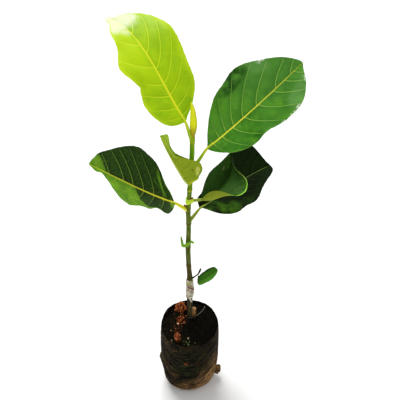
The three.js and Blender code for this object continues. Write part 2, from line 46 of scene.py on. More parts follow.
# The bag and its fill
TOUCH = 0.3
RIM_HEIGHT = 143
RIM_TILT = 6.5
RAGGED_RIM = 2.2
FILM = 0.7
LIP_RISE = 0.35
SOIL_DROP = 4.5
BAG_TURN = 17
BAG_PLAN = {
    "share": [0, 0.02, 0.06, 0.14, 0.28, 0.34, 0.39, 0.44, 0.62, 0.82, 1],
    "across": [38.5, 42, 44.5, 47, 49.3, 50, 50.4, 50.5, 50.5, 50, 49],
    "deep": [32, 35.5, 38.5, 42, 45.5, 46.3, 46.8, 47, 47.5, 47.5, 47],
}
BAG_FOOT = (0, 1)
BAG_LEAN = (1, -3)
SIDE_FOLD = {"angle": 180, "share": 0.39, "out": 3.5, "wide": 12, "tall": 0.045}
# The ear's crease number sets how much painted crease shade its film gets.
CORNER = {"at": (49.7, -2, 18.6), "half": (7, 5, 8.8), "crease": 0.36}
BAG_SIDES = 300
BAG_ROWS = 170
BAG_ROWS_INSIDE = 24
CREASE = {"depth": 1.5, "fine": 0.5, "crumple": 0.7, "slope": 0.85, "long": 24, "apart": 6.5,
          "sag_at": -108, "bend": 9, "bend_apart": 30, "crumple_apart": 13}
SOIL_SIDES = 220
SOIL_RINGS = 90
BARE_RINGS = 6

# The stem
STEM_Y = 16
STEM_FOOT = 140.3
STEM_SWEEP = {"back": 5, "fades": 28}
STEM_NODES = [
    (STEM_FOOT, 2.4, 6.2), (146, 2.0, 5.1), (158, 1.6, 4.7), (175, 1.3, 4.6), (188, 1.5, 5.0),
    (208, 1.8, 4.8), (226, 2.0, 4.6), (236, 2.0, 4.4), (248, 1.3, 4.0), (258, 0.7, 4.1),
    (264, 0.5, 3.9), (290, 0.2, 4.0), (304, 0.5, 4.2), (318, 1.1, 3.8), (338, 1.6, 3.7),
    (347, 1.8, 4.1), (356, 1.4, 3.6), (370, 1.3, 3.8), (380, 2.3, 3.5), (397, 3.3, 3.5),
    (406, 3.9, 3.8), (414, 4.5, 3.5), (440, 6.2, 3.6), (461, 7.6, 3.5), (482, 8.3, 3.5),
    (490, 8.6, 3.8), (494, 8.9, 3.3),
]
# Ring scars: height, how far they stand out, half their height
SCARS = [(260, 0.35, 1.3), (297, 0.3, 1.2), (345, 0.4, 1.2), (366, 0.3, 1.0), (373, 0.25, 0.9),
         (406, 0.35, 1.2), (419, 0.25, 1.0), (438, 0.15, 0.8), (486, 0.3, 1.0)]
GREEN_SCARS_FROM = 400
STUB = {"path": [(7.2, 19.6, STEM_FOOT), (8.2, 19.4, 148), (9, 19.2, 156)],
        "radii": [4.3, 4.2, 3.3]}
TAPE = {"from": 187, "to": 228, "film": 0.9, "step": 0.9, "pitch": 6.2, "bulge": 1.3,
        "bulge_at": 203}
TAIL = {"path": [(0.6, 12, 192), (2.4, 11.2, 186), (4.2, 12, 181), (5, 13.4, 177)],
        "radii": [1.5, 1.5, 0.9]}
BUD = {"path": [(8.9, STEM_Y, 494.6), (10.1, STEM_Y, 509), (10.1, STEM_Y, 521),
                (9.7, STEM_Y, 530), (8.8, STEM_Y, 538), (7.5, STEM_Y, 544.5)],
       "radii": [3.2, 5.1, 4.6, 3.6, 2.3, 0.9]}
TWIG = {"path": [(1.5, 16, 232), (6.6, 16, 231), (10, 16, 233.6), (16.2, 16, 240),
                 (18.2, 16, 245), (20.6, 16, 252)],
        "radii": [2.8, 1.8, 1.2, 1.2, 1.7, 1.3]}
CLASPING_BRACT = {"path": [(-10.4, 12, 321.5), (-9, 11.4, 311), (-7.4, 11, 303.6),
                           (-1.3, 10.6, 306), (5, 12, 311), (10, 11.4, 308.5)],
                  "radii": [0.9, 2.0, 2.3, 2.9, 2.1, 1.3]}
COLLAR = {"from": 382.6, "to": 391, "out": 2.2, "lobe": 1.4, "lip": 0.15}
COLLAR_BUD = {"path": [(5.4, 13.6, 391.6), (7.4, 12.4, 393.2), (9.4, 11.8, 395.6)],
              "radii": [1.5, 1.3, 0.5]}
AXIL_BUD = {"path": [(-1, 15.5, 377.4), (-3.2, 14.6, 378.2), (-4.8, 14, 381.4)],
            "radii": [1.6, 1.4, 0.5]}

# What lies on the soil
CLODS = {
    "clay_clod_back": {"at": (-15, 31, 145.5), "half": (8.6, 8.4, 8), "spin": 20,
                       "crumbs": 380000},
    "clay_clod_front": {"at": (-19, -28.5, 136.5), "half": (4.2, 8.4, 5.2), "spin": 10,
                        "crumbs": 260000},
    "clay_clod_middle": {"at": (-15, 9, 140.6), "half": (5.4, 4.4, 3.4), "spin": 40,
                         "crumbs": 200000},
}
PEBBLES = [(-19, 0, 1.9), (-30.5, -14, 1.6), (-28.5, -34, 1.9), (-0.6, -29.5, 2.0)]
ROOTLET = {"path": [(27.5, 36), (26.3, 31), (21.6, 23.6), (14.6, 16.6), (6, 12), (-2.5, 11.2)],
           "r": 0.6, "radii": [0.4, 0.5, 0.45, 0.35, 0.25]}
# Spots of crumbs and moss: x, y, spread
CLAY_SPOTS = [(-15, 21, 6), (-9, 17, 5), (-14, 12, 6), (-17, 3, 5), (-10, 3, 4), (-10, 27, 4),
              (-20, -6, 3.5), (-22, -16, 4), (-17, -31, 3.5), (-14, -8, 3)]
MOSS_SPOTS = [(-6, -36.5, 3.2), (-1, -38.5, 3), (11, -39.5, 2.2), (-24, -24, 1.5)]

# The leaves, by the frame's own rule: a midrib from base whose heading and rise change along
# it, half widths left and right at even stations, a fold and a curl on each side. Added for
# the fine leaves: where the side veins start, how far they sweep forward, and the quilting.
EVEN_VEINS = [0.05, 0.12, 0.2, 0.29, 0.39, 0.5, 0.62, 0.75, 0.87]
LEAVES = {
    "leaf_top_left": dict(
        base=(-0.6, 12.5, 517.5), long=194,
        heading=(144.4, -50.2, 45.8), rise=(49.2, 6.3, -55), roll=(-16.9, 14),
        fold_left=[6.9], fold_right=[13], curl_left=[-11.7], curl_right=[4.1],
        left=[21.3, 34, 39.6, 35, 45.3, 32.5, 26.4, 13.5, 8.8],
        right=[6.5, 23.3, 37.8, 42.6, 48, 48.7, 39.4, 20.7, 1],
        ripple=1.5, waves=3, stalk=(485, 2.3, 1.8), notch=(0.335, 0.05, 0.022),
        veins_left=[0.04, 0.11, 0.204, 0.291, 0.425, 0.619, 0.76, 0.86],
        veins_right=[0.05, 0.116, 0.212, 0.301, 0.414, 0.547, 0.733, 0.86],
        sweep=[(0.037, 0.158), (0.049, 0.484)], quilt=0.8, slot="leaf_lime"),
    "leaf_top_right": dict(
        base=(29.4, 17.2, 474.6), long=170.1,
        heading=(-0.1, 18, 1), rise=(42.6, 4.3, -5.8), roll=(27.4, 7.5),
        fold_left=[18.2], fold_right=[8.4], curl_left=[11.5], curl_right=[-5.3],
        left=[6.1, 21, 38.7, 49.8, 55.7, 54.3, 39.6, 26.1, 11],
        right=[8.5, 22.2, 37.7, 44.7, 42.4, 46.4, 42, 26.1, 6.1],
        ripple=1.5, waves=4, stalk=(438, 2.4, 1.9),
        veins_left=[0.06, 0.133, 0.208, 0.288, 0.388, 0.529, 0.725, 0.878],
        veins_right=[0.07, 0.162, 0.276, 0.401, 0.546, 0.7, 0.817, 0.91],
        sweep=[(-0.041, 0.538), (0.068, 0.156)], quilt=0.7, slot="leaf_green"),
    "leaf_folded_front": dict(
        base=(2.7, 7.3, 421.1), long=126.8,
        heading=(240.5, 3.5, -7.4), rise=(55.4, 2.5, 6.2), roll=(-39.2, 0.7),
        fold_left=[79.5], fold_right=[87], curl_left=[2.6], curl_right=[5.1],
        left=[14.5, 20.2, 27.8, 30, 17.7, 5.7, 4.7, 4.6, 1.9],
        right=[15.8, 26.2, 29.9, 25.8, 16, 8, 6.4, 8.8, 9.1],
        ripple=0, waves=0, stalk=(416, 1.8, 1.7),
        sweep=[(0.06, 0.2), (0.06, 0.2)], quilt=0.5, slot="leaf_olive"),
    "leaf_lower_left": dict(
        base=(-18.1, 13.3, 384), long=153.3,
        heading=(201.4, -1.7, 13.4), rise=(32.7, 20.7, -10.5), roll=(-24.4, -5),
        fold_left=[12.4], fold_right=[20], curl_left=[3.7], curl_right=[15.4],
        left=[6.5, 19.8, 31.8, 26.2, 37.1, 40.1, 46.5, 40.7, 8.7, 8.8, 4.9],
        right=[3.1, 12.1, 22.6, 36.8, 49.5, 55.6, 51.7, 42.3, 30, 20.2, 8],
        ripple=1.5, waves=3, stalk=(369, 2.6, 2.2),
        veins_left=[0.05, 0.136, 0.254, 0.375, 0.512, 0.69, 0.84],
        veins_right=[0.05, 0.14, 0.253, 0.376, 0.499, 0.61, 0.779, 0.9],
        sweep=[(0.062, 0.198), (0.073, 0.163)], quilt=0.7, slot="leaf_green"),
    "leaf_lower_right": dict(
        base=(19, 27, 364.5), long=169.2,
        heading=(47.9, 6.2, -18.2), rise=(-0.4, 10, -9.4), roll=(26.4, -9),
        fold_left=[18.2], fold_right=[12.4], curl_left=[17.3], curl_right=[5.6],
        left=[14.7, 19.2, 28.1, 37.9, 42.5, 50.1, 49.3, 45.9, 9.7],
        right=[2.7, 28, 43.2, 45, 47.1, 36.4, 27.1, 19.9, 11.3],
        ripple=1.5, waves=3, stalk=(347, 2.5, 1.7), sunk=1.3,
        veins_right=[0.06, 0.17, 0.29, 0.4, 0.52, 0.65, 0.78, 0.9],
        sweep=[(0.05, 0.3), (0.05, 0.3)], quilt=0.7, slot="leaf_deep"),
    "leaf_curled_right": dict(
        base=(20.7, 19.2, 386.2), long=99.2,
        heading=(36.8, -19.2, 90), rise=(-0.6, 32.6, 67.1), roll=(13.2, -26.2),
        fold_left=[50.9, 56.5, 26.1], fold_right=[0.2, 34.2, 41],
        curl_left=[8.5, 14, 5.5], curl_right=[137.1, -32.5, 132.3],
        left=[5.5, 16.9, 26.6, 31.8, 31.7, 29, 23.3, 14.5, 7.3],
        right=[26.3, 41.9, 49, 49, 48.8, 40.5, 22.9, 10.1, 3],
        ripple=0, waves=0, stalk=(386, 2.4, 2.0), sunk=1.4,
        sweep=[(0.06, 0.2), (0.06, 0.2)], quilt=0.35, slot="leaf_deep"),
    "leaf_small_low": dict(
        base=(15.5, 11, 224.1), long=41.5,
        heading=(2.7, 9, 1.5), rise=(31.7, 12.9, 3.1), roll=(12.9, -0.3),
        fold_left=[13.8], fold_right=[15.8], curl_left=[2.9], curl_right=[4.3],
        left=[7.2, 9.9, 12.4, 12.3, 11.6, 9.7, 6.8],
        right=[6.3, 8.4, 9.7, 11.4, 10.7, 8.7, 5.5],
        ripple=0.5, waves=2, stalk=((16.4, 15.2, 236.5), 0.8, 0.8),
        veins_left=[0.1, 0.26, 0.44, 0.62, 0.8], veins_right=[0.14, 0.32, 0.5, 0.68, 0.84],
        sweep=[(0.2, 0.3), (0.2, 0.3)], quilt=0.25, slot="leaf_green"),
}
BLADE_GRID = (150, 72)
SMALL_BLADE = {"below": 60, "grid": (60, 32)}
BLADE_TIP = 1.2
LEAF_THICK = 0.45
FRAY = 0.15
CURL_STEPS = 12
RIB_CHANNEL = {"deep": 0.35, "wide": 1.6}
VEIN_RIDGE = {"high": 0.4, "wide": 0.8}
STALK_BEND = 0.55
STALK_FOOT = 1.25
RIB_REACH = 0.95
RIB_STEPS = 8
RIB_SUNK = 0.8

# Floor, light and camera
FLOOR = {"size": 12000, "below": 0.2, "tone": 0.9}
SKY = 0.65
SUN = {"azimuth": 110, "elevation": 60, "power": 2.6, "spread": 35}
CAMERA = {"at": (19, -627, 838), "tilt": 55, "sensor": 36, "lens": 47.7}


# Node trees
class Flow:
    """A socket of a node tree. Sums written on it become Math nodes."""

    def __init__(self, graph, node, output):
        self.graph = graph
        self.node = node
        self.socket = node.outputs[output]

    def twin(self, output):
        return Flow(self.graph, self.node, output)

    def maths(self, operation, *values):
        return self.graph.add("ShaderNodeMath", {"operation": operation}, dict(enumerate(values)))

    def __add__(self, other):
        return self.maths("ADD", self, other)

    def __sub__(self, other):
        return self.maths("SUBTRACT", self, other)

    def __rsub__(self, other):
        return self.maths("SUBTRACT", other, self)

    def __mul__(self, other):
        return self.maths("MULTIPLY", self, other)

    def __truediv__(self, other):
        return self.maths("DIVIDE", self, other)

    def __pow__(self, other):
        return self.maths("POWER", self, other)

    def __abs__(self):
        return self.maths("ABSOLUTE", self)

    __radd__ = __add__
    __rmul__ = __mul__

    def larger(self, other):
        return self.maths("MAXIMUM", self, other)

    def whole(self):
        return self.maths("FLOOR", self)

    def fraction(self):
        return self.maths("FRACT", self)

    def rises(self, low, high):
        """0 below low, 1 above high, with a smooth step between."""
        sockets = {"Value": self, "From Min": low, "From Max": high}
        return self.graph.add("ShaderNodeMapRange", {"interpolation_type": "SMOOTHSTEP"}, sockets)

    def falls(self, low, high):
        return 1 - self.rises(low, high)

    def within(self, low, full, fades, high):
        """1 from full to fades, 0 below low and above high."""
        return self.rises(low, full) * self.falls(fades, high)


class Graph:
    def __init__(self, tree):
        self.tree = tree

    def add(self, kind, settings=None, sockets=None, output=0):
        """A node: its settings first, then the values and links of its sockets."""
        node = self.tree.nodes.new(kind)
        for key, value in (settings or {}).items():
            if key == "stops":
                self.set_stops(node.color_ramp.elements, value)
            else:
                setattr(node, key, value)
        for key, value in (sockets or {}).items():
            if isinstance(value, Flow):
                self.tree.links.new(value.socket, node.inputs[key])
            else:
                node.inputs[key].default_value = value
        return Flow(self, node, output)

    @staticmethod
    def set_stops(elements, stops):
        while len(elements) < len(stops):
            elements.new(1)
        for element, (place, colour) in zip(elements, stops):
            element.position = place
            element.color = colour


def paint(red, green, blue):
    """A colour from 0 to 255 as the eye sees it, in the renderer's linear values."""
    linear = [((c / 255 + 0.055) / 1.055) ** 2.4 for c in (red, green, blue)]
    return (*linear, 1.0)


class Finish(Graph):
    """A material, built up as layers of colour from 0 to 255.

    Its shader's fixed values are set on the shader's own sockets.
    """

    def __init__(self, name, **fixed):
        self.material = bpy.data.materials.new(name)
        self.material.use_nodes = True
        super().__init__(self.material.node_tree)
        self.shader = self.tree.nodes["Principled BSDF"]
        for key, value in fixed.items():
            self.shader.inputs[key.replace("_", " ")].default_value = value
        self.place = self.add("ShaderNodeTexCoord", output="Object")
        self.colour = None

    def feed(self, socket, value):
        self.tree.links.new(value.socket, self.shader.inputs[socket])

    def blend(self, share, first, second):
        first, second = (c if isinstance(c, Flow) else paint(*c) for c in (first, second))
        return self.add("ShaderNodeMix", {"data_type": "RGBA"}, {0: share, 6: first, 7: second}, 2)

    def lay(self, share, tone):
        """The next layer: a tone over the colour so far, by its share."""
        self.colour = self.blend(share, self.colour, tone)

    def stretched(self, upright):
        sockets = {"Vector": self.place, "Scale": (1.0, 1.0, upright)}
        return self.add("ShaderNodeMapping", {}, sockets)

    def grain(self, scale, detail=3.0, rough=0.55, vector=None):
        """Soft noise from 0 to 1 whose patches are about 1 / scale metres."""
        sockets = {"Vector": vector or self.place, "Scale": scale, "Detail": detail,
                   "Roughness": rough}
        return self.add("ShaderNodeTexNoise", {}, sockets)

    def cells(self, scale, feature="DISTANCE_TO_EDGE"):
        sockets = {"Vector": self.place, "Scale": scale}
        return self.add("ShaderNodeTexVoronoi", {"feature": feature}, sockets)

    def spread(self, name):
        """The three numbers of a piece's own attribute."""
        vector = self.add("ShaderNodeAttribute", {"attribute_name": name}, output="Vector")
        parts = self.add("ShaderNodeSeparateXYZ", {}, {0: vector})
        return parts, parts.twin(1), parts.twin(2)

    def axis(self, number):
        """The place along x, y or z in millimetres."""
        return self.add("ShaderNodeSeparateXYZ", {}, {0: self.place}, number) * (1 / MM)

    def done(self, relief, depth, strength=1.0, roughness=None):
        """The material with its layers, its fine relief and its uneven roughness."""
        sockets = {"Height": relief, "Distance": depth * MM, "Strength": strength}
        self.feed("Normal", self.add("ShaderNodeBump", {}, sockets))
        self.feed("Base Color", self.colour)
        if roughness:
            self.feed("Roughness", roughness)
        return self.material


# Mesh helpers
def along(values, share):
    """A smooth run through values at even steps, read at shares from 0 to 1."""
    values = np.asarray(values, float)
    share = np.asarray(share, float)
    last = len(values) - 1
    if last == 0:
        return np.full(share.shape, values[0])
    place = np.clip(share, 0, 1) * last
    i = np.minimum(place.astype(int), last - 1)
    f = place - i
    b, c = values[i], values[i + 1]
    a = np.where(i > 0, values[i - 1], 2 * b - c)
    d = np.where(i < last - 1, values[np.minimum(i + 2, last)], 2 * c - b)
    square = 2 * a - 5 * b + 4 * c - d
    cube = 3 * b - a - 3 * c + d
    return b + 0.5 * ((c - a) * f + square * f**2 + cube * f**3)


def path_through(points, steps):
    """The frame's smooth path: steps + 1 points at even steps of its own share."""
    points = [np.asarray(p, float) for p in points]
    points = [2 * points[0] - points[1], *points, 2 * points[-1] - points[-2]]
    spans = len(points) - 3
    out = []
    for k in range(steps + 1):
        place = spans * k / steps
        i = min(int(place), spans - 1)
        f = place - i
        p0, p1, p2, p3 = points[i:i + 4]
        pairs = ((p0, p1), (p1, p2), (p2, p3))
        d0, d1, d2 = (np.linalg.norm(q - p) ** 0.5 or 1 for p, q in pairs)
        t1 = ((p1 - p0) / d0 - (p2 - p0) / (d0 + d1) + (p2 - p1) / d1) * d1
        t2 = ((p2 - p1) / d1 - (p3 - p1) / (d1 + d2) + (p3 - p2) / d2) * d1
        square = -3 * p1 + 3 * p2 - 2 * t1 - t2
        cube = 2 * p1 - 2 * p2 + t1 + t2
        out.append(p1 + t1 * f + square * f**2 + cube * f**3)
    return np.array(out)


def round_angles(sides):
    return np.linspace(0, FULL_TURN, sides, endpoint=False)


def stack(*columns):
    """Arrays side by side as points; plain numbers are repeated."""
    return np.stack(np.broadcast_arrays(*columns), -1)


def new_piece(name, mesh):
    piece = bpy.data.objects.new(name, mesh)
    bpy.context.scene.collection.objects.link(piece)
    return piece


def mesh_object(name, points, faces, material=None, edges=()):
    """An object at the origin from points in millimetres; faces are turned to point outwards."""
    mesh = bpy.data.meshes.new(name)
    points = np.asarray(points, float)
    if len(faces):
        corners = np.array([[f[0], f[k], f[k + 1]] for f in faces for k in range(1, len(f) - 1)])
        a, b, c = (points[corners[:, k]] for k in range(3))
        if np.einsum("ij,ij->i", a, np.cross(b, c)).sum() < 0:
            faces = [f[::-1] for f in faces]
    mesh.from_pydata((points * MM).tolist(), list(edges), faces)
    mesh.update()
    if material:
        mesh.materials.append(material)
    mesh.shade_smooth()
    return new_piece(name, mesh)


def set_values(piece, name, values):
    """An attribute on a piece's points: one number each, or three."""
    values = np.asarray(values, np.float32)
    kind, key = ("FLOAT", "value") if values.ndim == 1 else ("FLOAT_VECTOR", "vector")
    layer = piece.data.attributes.new(name, kind, "POINT")
    layer.data.foreach_set(key, values.ravel())


def places_of(piece):
    return np.array([v.co for v in piece.data.vertices])


def loft(name, rings, material, ends="poles"):
    """A closed skin over rings of points. Its ends are poles, or the last ring meets the first."""
    count, sides = len(rings), len(rings[0])
    points = [p for ring in rings for p in ring]
    faces = []
    spans = count if ends == "loop" else count - 1
    for i in range(spans):
        low, high = i * sides, (i + 1) % count * sides
        for j in range(sides):
            k = (j + 1) % sides
            faces.append((low + j, low + k, high + k, high + j))
    if ends == "poles":
        points += [np.mean(rings[0], 0), np.mean(rings[-1], 0)]
        foot, top, last = len(points) - 2, len(points) - 1, (count - 1) * sides
        for j in range(sides):
            k = (j + 1) % sides
            faces.append((foot, k, j))
            faces.append((top, last + j, last + k))
    return mesh_object(name, points, faces, material)


def with_tree(source, tree, name, **values):
    """The plain mesh that a node tree makes from its source, with inputs set by identifier."""
    modifier = source.modifiers.new("build", "NODES")
    modifier.node_group = tree
    for item in tree.interface.items_tree:
        key = item.name.lower()
        if item.item_type == "SOCKET" and item.in_out == "INPUT" and key in values:
            modifier[item.identifier] = values[key]
    depsgraph = bpy.context.evaluated_depsgraph_get()
    mesh = bpy.data.meshes.new_from_object(
        source.evaluated_get(depsgraph), preserve_all_data_layers=True, depsgraph=depsgraph)
    bpy.data.objects.remove(source)
    mesh.name = name
    return new_piece(name, mesh)


def joined(name, parts):
    """Several parts as one piece, with all their materials."""
    first = parts[0]
    with bpy.context.temp_override(active_object=first, selected_editable_objects=parts):
        bpy.ops.object.join()
    first.name = name
    first.data.name = name
    return first


def geometry_tree(name, inputs):
    """An empty Geometry Nodes tree with named inputs, its graph and its group input."""
    tree = bpy.data.node_groups.new(name, "GeometryNodeTree")
    face = tree.interface
    face.new_socket("Geometry", in_out="INPUT", socket_type="NodeSocketGeometry")
    for title, (kind, value) in inputs.items():
        socket = face.new_socket(title, in_out="INPUT", socket_type="NodeSocket" + kind)
        if value is not None:
            socket.default_value = value
    face.new_socket("Geometry", in_out="OUTPUT", socket_type="NodeSocketGeometry")
    graph = Graph(tree)
    return tree, graph, graph.add("NodeGroupInput")


def uneven(graph, skin, texture, depth):
    """A skin whose points are pushed in and out by soft noise."""
    rough = graph.add("ShaderNodeTexNoise", {}, texture)
    out = graph.add("ShaderNodeVectorMath", {"operation": "SCALE"},
                    {0: graph.add("GeometryNodeInputNormal"), "Scale": (rough - 0.5) * depth})
    return graph.add("GeometryNodeSetPosition", {}, {"Geometry": skin, "Offset": out})


def finish_tree(graph, geometry, material):
    """The end of every tree: instances made real, smooth faces and the material."""
    real = graph.add("GeometryNodeRealizeInstances", {}, {0: geometry})
    smooth = graph.add("GeometryNodeSetShadeSmooth", {}, {0: real})
    dressed = graph.add("GeometryNodeSetMaterial", {}, {"Geometry": smooth, "Material": material})
    graph.tree.links.new(dressed.socket, graph.tree.nodes.new("NodeGroupOutput").inputs[0])


def make_limb_tree():
    """A tapered round limb along a line of points that hold their own radius."""
    tree, graph, given = geometry_tree("tapered limb", {
        "Sides": ("Int", 24), "Relief": ("Float", 0.0), "Grain": ("Float", 400.0),
        "Stretch": ("Float", 0.25), "Material": ("Material", None)})
    radius = graph.add("GeometryNodeInputNamedAttribute", {"data_type": "FLOAT"},
                       {"Name": "radius"})
    line = graph.add("GeometryNodeMeshToCurve", {}, {0: given})
    ring = graph.add("GeometryNodeCurvePrimitiveCircle", {},
                     {"Resolution": given.twin("Sides"), "Radius": 1.0})
    skin = graph.add("GeometryNodeCurveToMesh", {},
                     {"Curve": line, "Profile Curve": ring, "Scale": radius, "Fill Caps": True})
    skin = graph.add("GeometryNodeMergeByDistance", {}, {"Geometry": skin, "Distance": 0.00001})
    squash = graph.add("ShaderNodeCombineXYZ", {}, {0: 1.0, 1: 1.0, 2: given.twin("Stretch")})
    spot = graph.add("ShaderNodeVectorMath", {"operation": "MULTIPLY"},
                     {0: graph.add("GeometryNodeInputPosition"), 1: squash})
    texture = {"Vector": spot, "Scale": given.twin("Grain"), "Detail": 3.0, "Roughness": 0.6}
    skin = uneven(graph, skin, texture, given.twin("Relief") * MM)
    finish_tree(graph, skin, given.twin("Material"))
    return tree


def make_scatter_tree():
    """Uneven crumbs strewn over a surface where its weight is high."""
    tree, graph, given = geometry_tree("strewn crumbs", {
        "Density": ("Float", 100000.0), "Seed": ("Int", 1), "Smallest": ("Float", 0.3),
        "Largest": ("Float", 1.2), "Flat": ("Float", 0.7), "Material": ("Material", None)})
    weight = graph.add("GeometryNodeInputNamedAttribute", {"data_type": "FLOAT"},
                       {"Name": "weight"})
    points = graph.add("GeometryNodeDistributePointsOnFaces", {"distribute_method": "RANDOM"},
                       {"Mesh": given, "Density": weight * given.twin("Density"),
                        "Seed": given.twin("Seed")})
    crumb = graph.add("GeometryNodeMeshIcoSphere", {}, {"Radius": 1.0, "Subdivisions": 1})
    flat = given.twin("Flat")
    squash = graph.add("ShaderNodeCombineXYZ", {}, {0: 1.0, 1: flat, 2: flat})
    crumb = graph.add("GeometryNodeTransform", {}, {"Geometry": crumb, "Scale": squash})
    turn = graph.add("FunctionNodeRandomValue", {"data_type": "FLOAT_VECTOR"},
                     {0: (0.0, 0.0, 0.0), 1: (6.28, 6.28, 6.28), "Seed": 3})
    share = graph.add("FunctionNodeRandomValue", {"data_type": "FLOAT"}, {"Seed": 5}, 1)
    small, large = given.twin("Smallest") * MM, given.twin("Largest") * MM
    size = small + (large - small) * share**3.0
    strewn = graph.add("GeometryNodeInstanceOnPoints", {},
                       {"Points": points, "Instance": crumb, "Rotation": turn, "Scale": size})
    real = graph.add("GeometryNodeRealizeInstances", {}, {0: strewn})
    real = uneven(graph, real, {"Scale": 700.0, "Detail": 2.0}, small * 2.0)
    finish_tree(graph, real, given.twin("Material"))
    return tree


limb_tree = make_limb_tree()
scatter_tree = make_scatter_tree()


def limb(name, path, radii, material, sides=24, relief=0.0, grain=400.0, stretch=0.25):
    """A limb along a fine path in millimetres, with a radius for each point of it."""
    count = len(path)
    line = mesh_object(name + "_line", path, [], None, [(i, i + 1) for i in range(count - 1)])
    set_values(line, "radius", np.asarray(radii, float) * MM)
    set_values(line, "run", np.linspace(0, 1, count))
    return with_tree(line, limb_tree, name, sides=sides, relief=float(relief),
                     grain=float(grain), stretch=float(stretch), material=material)


def tapered(name, plan, material, steps=60, is_round=True, **options):
    """A limb through a few points, its radius run smoothly through a few values."""
    share = np.linspace(0, 1, steps + 1)
    reach = along(plan["radii"], share)
    if is_round:
        reach = reach * np.sqrt(np.clip(1 - np.clip((share - 0.94) / 0.06, 0, 1) ** 2, 0.01, 1))
    return limb(name, path_through(plan["path"], steps), reach, material, **options)


# The frame's own rules for the bag, the soil and the stem
def rim_height(angle):
    wavy = np.sin(3 * angle + 0.6) + 0.7 * np.sin(5 * angle + 2)
    return RIM_HEIGHT + RIM_TILT * np.sin(angle) + wavy


def bag_middle(share):
    return [BAG_FOOT[k] + BAG_LEAN[k] * share for k in (0, 1)]


def bag_wall(angle, share, inset):
    turn = math.radians(BAG_TURN)
    slack = 0.5 * np.sin(3 * angle + 3 * share) + 0.35 * np.sin(7 * angle - 4 * share)
    away = angle - math.radians(SIDE_FOLD["angle"])
    round_by = np.arctan2(np.sin(away), np.cos(away)) / math.radians(SIDE_FOLD["wide"])
    level = (share - SIDE_FOLD["share"]) / SIDE_FOLD["tall"]
    fold = SIDE_FOLD["out"] * np.exp(-round_by**2 - level**2)
    bulge = slack * min(share, 1) + fold - inset
    wide, deep = (np.interp(share, BAG_PLAN["share"], BAG_PLAN[k]) for k in ("across", "deep"))
    across = (wide + bulge) * np.cos(angle - turn)
    deep = (deep + bulge) * np.sin(angle - turn)
    x, y = bag_middle(share)
    return (x + across * math.cos(turn) - deep * math.sin(turn),
            y + across * math.sin(turn) + deep * math.cos(turn))


def soil_height(x, y, reach):
    lumps = np.sin(x / 7 + 1) * np.cos(y / 6) + 0.6 * np.sin(x / 3.1 + y / 4.3)
    rim_plane = RIM_HEIGHT + RIM_TILT * y / BAG_PLAN["deep"][-1]
    return rim_plane - SOIL_DROP + lumps * (1 - reach**4)


def soil_under(x, y):
    middle = bag_middle(1)
    reach = min(1, math.hypot(x - middle[0], y - middle[1]) / BAG_PLAN["across"][-1])
    return float(soil_height(x, y, reach))


def stem_at(z):
    heights, x, r = np.array(STEM_NODES).T
    back = STEM_SWEEP["back"] * np.exp(-(z - STEM_FOOT) / STEM_SWEEP["fades"])
    return np.interp(z, heights, x), STEM_Y + back, np.interp(z, heights, r)


# The leaves' rule
def bent(values, share):
    return np.radians(sum(v * share**k for k, v in enumerate(values)))


def leaf_frame(leaf, share):
    """Directions ahead, left and up of a leaf's midrib at shares of its length."""
    rise, heading, roll = (bent(leaf[key], share) for key in ("rise", "heading", "roll"))
    ahead = stack(np.cos(rise) * np.cos(heading), np.cos(rise) * np.sin(heading), np.sin(rise))
    level = stack(-np.sin(heading), np.cos(heading), 0)
    above = np.cross(ahead, level)
    cosine, sine = np.cos(roll)[..., None], np.sin(roll)[..., None]
    return ahead, cosine * level + sine * above, cosine * above - sine * level


def midrib(leaf, share):
    steps = 200
    middle = (np.arange(steps) + 0.5) / steps
    ahead = leaf_frame(leaf, middle)[0]
    points = np.vstack([np.zeros(3), np.cumsum(ahead * leaf["long"] / steps, 0)]) + leaf["base"]
    even = np.linspace(0, 1, steps + 1)
    return stack(*(np.interp(share, even, points[:, k]) for k in range(3)))


def half_width(leaf, share, is_left):
    station = np.arccos(np.clip(1 - 2 * share, -1, 1)) / math.pi
    wide = along([0, *(leaf["left"] if is_left else leaf["right"]), 0], station)
    if is_left and "notch" in leaf:
        at, deep, spread = leaf["notch"]
        wide = wide * (1 - deep * np.exp(-(((share - at) / spread) ** 2)))
    fray = np.sin(83 * share + 2 * is_left) + np.sin(131 * share + leaf["long"])
    wide = wide + FRAY * fray * np.sin(math.pi * share)
    return np.maximum(wide, BLADE_TIP)


def blade_width(leaf, share, across):
    return np.where(across >= 0, half_width(leaf, share, True), half_width(leaf, share, False))


def blade_point(leaf, share, across):
    """Points of a blade at shares of its length, across from -1, right, to 1, left."""
    out = np.abs(across)
    side = np.where(across >= 0, 1, -1)
    _, left, up = leaf_frame(leaf, share)

    def sided(key):
        left_values, right_values = (along(leaf[key + k], share) for k in ("_left", "_right"))
        return np.radians(np.where(across >= 0, left_values, right_values))

    wide = blade_width(leaf, share, across)
    fold, curl = sided("fold"), sided("curl")
    sideways, lift = 0, 0
    for i in range(CURL_STEPS):
        lean = fold + curl * out * (i + 0.5) / CURL_STEPS
        sideways = sideways + np.cos(lean) * out * wide / CURL_STEPS
        lift = lift + np.sin(lean) * out * wide / CURL_STEPS
    wave = np.sin(FULL_TURN * (leaf["waves"] * share + np.where(across >= 0, 0, 0.4)))
    lift = lift + leaf["ripple"] * wave * out**2 * np.sin(math.pi * share)
    return midrib(leaf, share) + left * (side * sideways)[..., None] + up * lift[..., None]


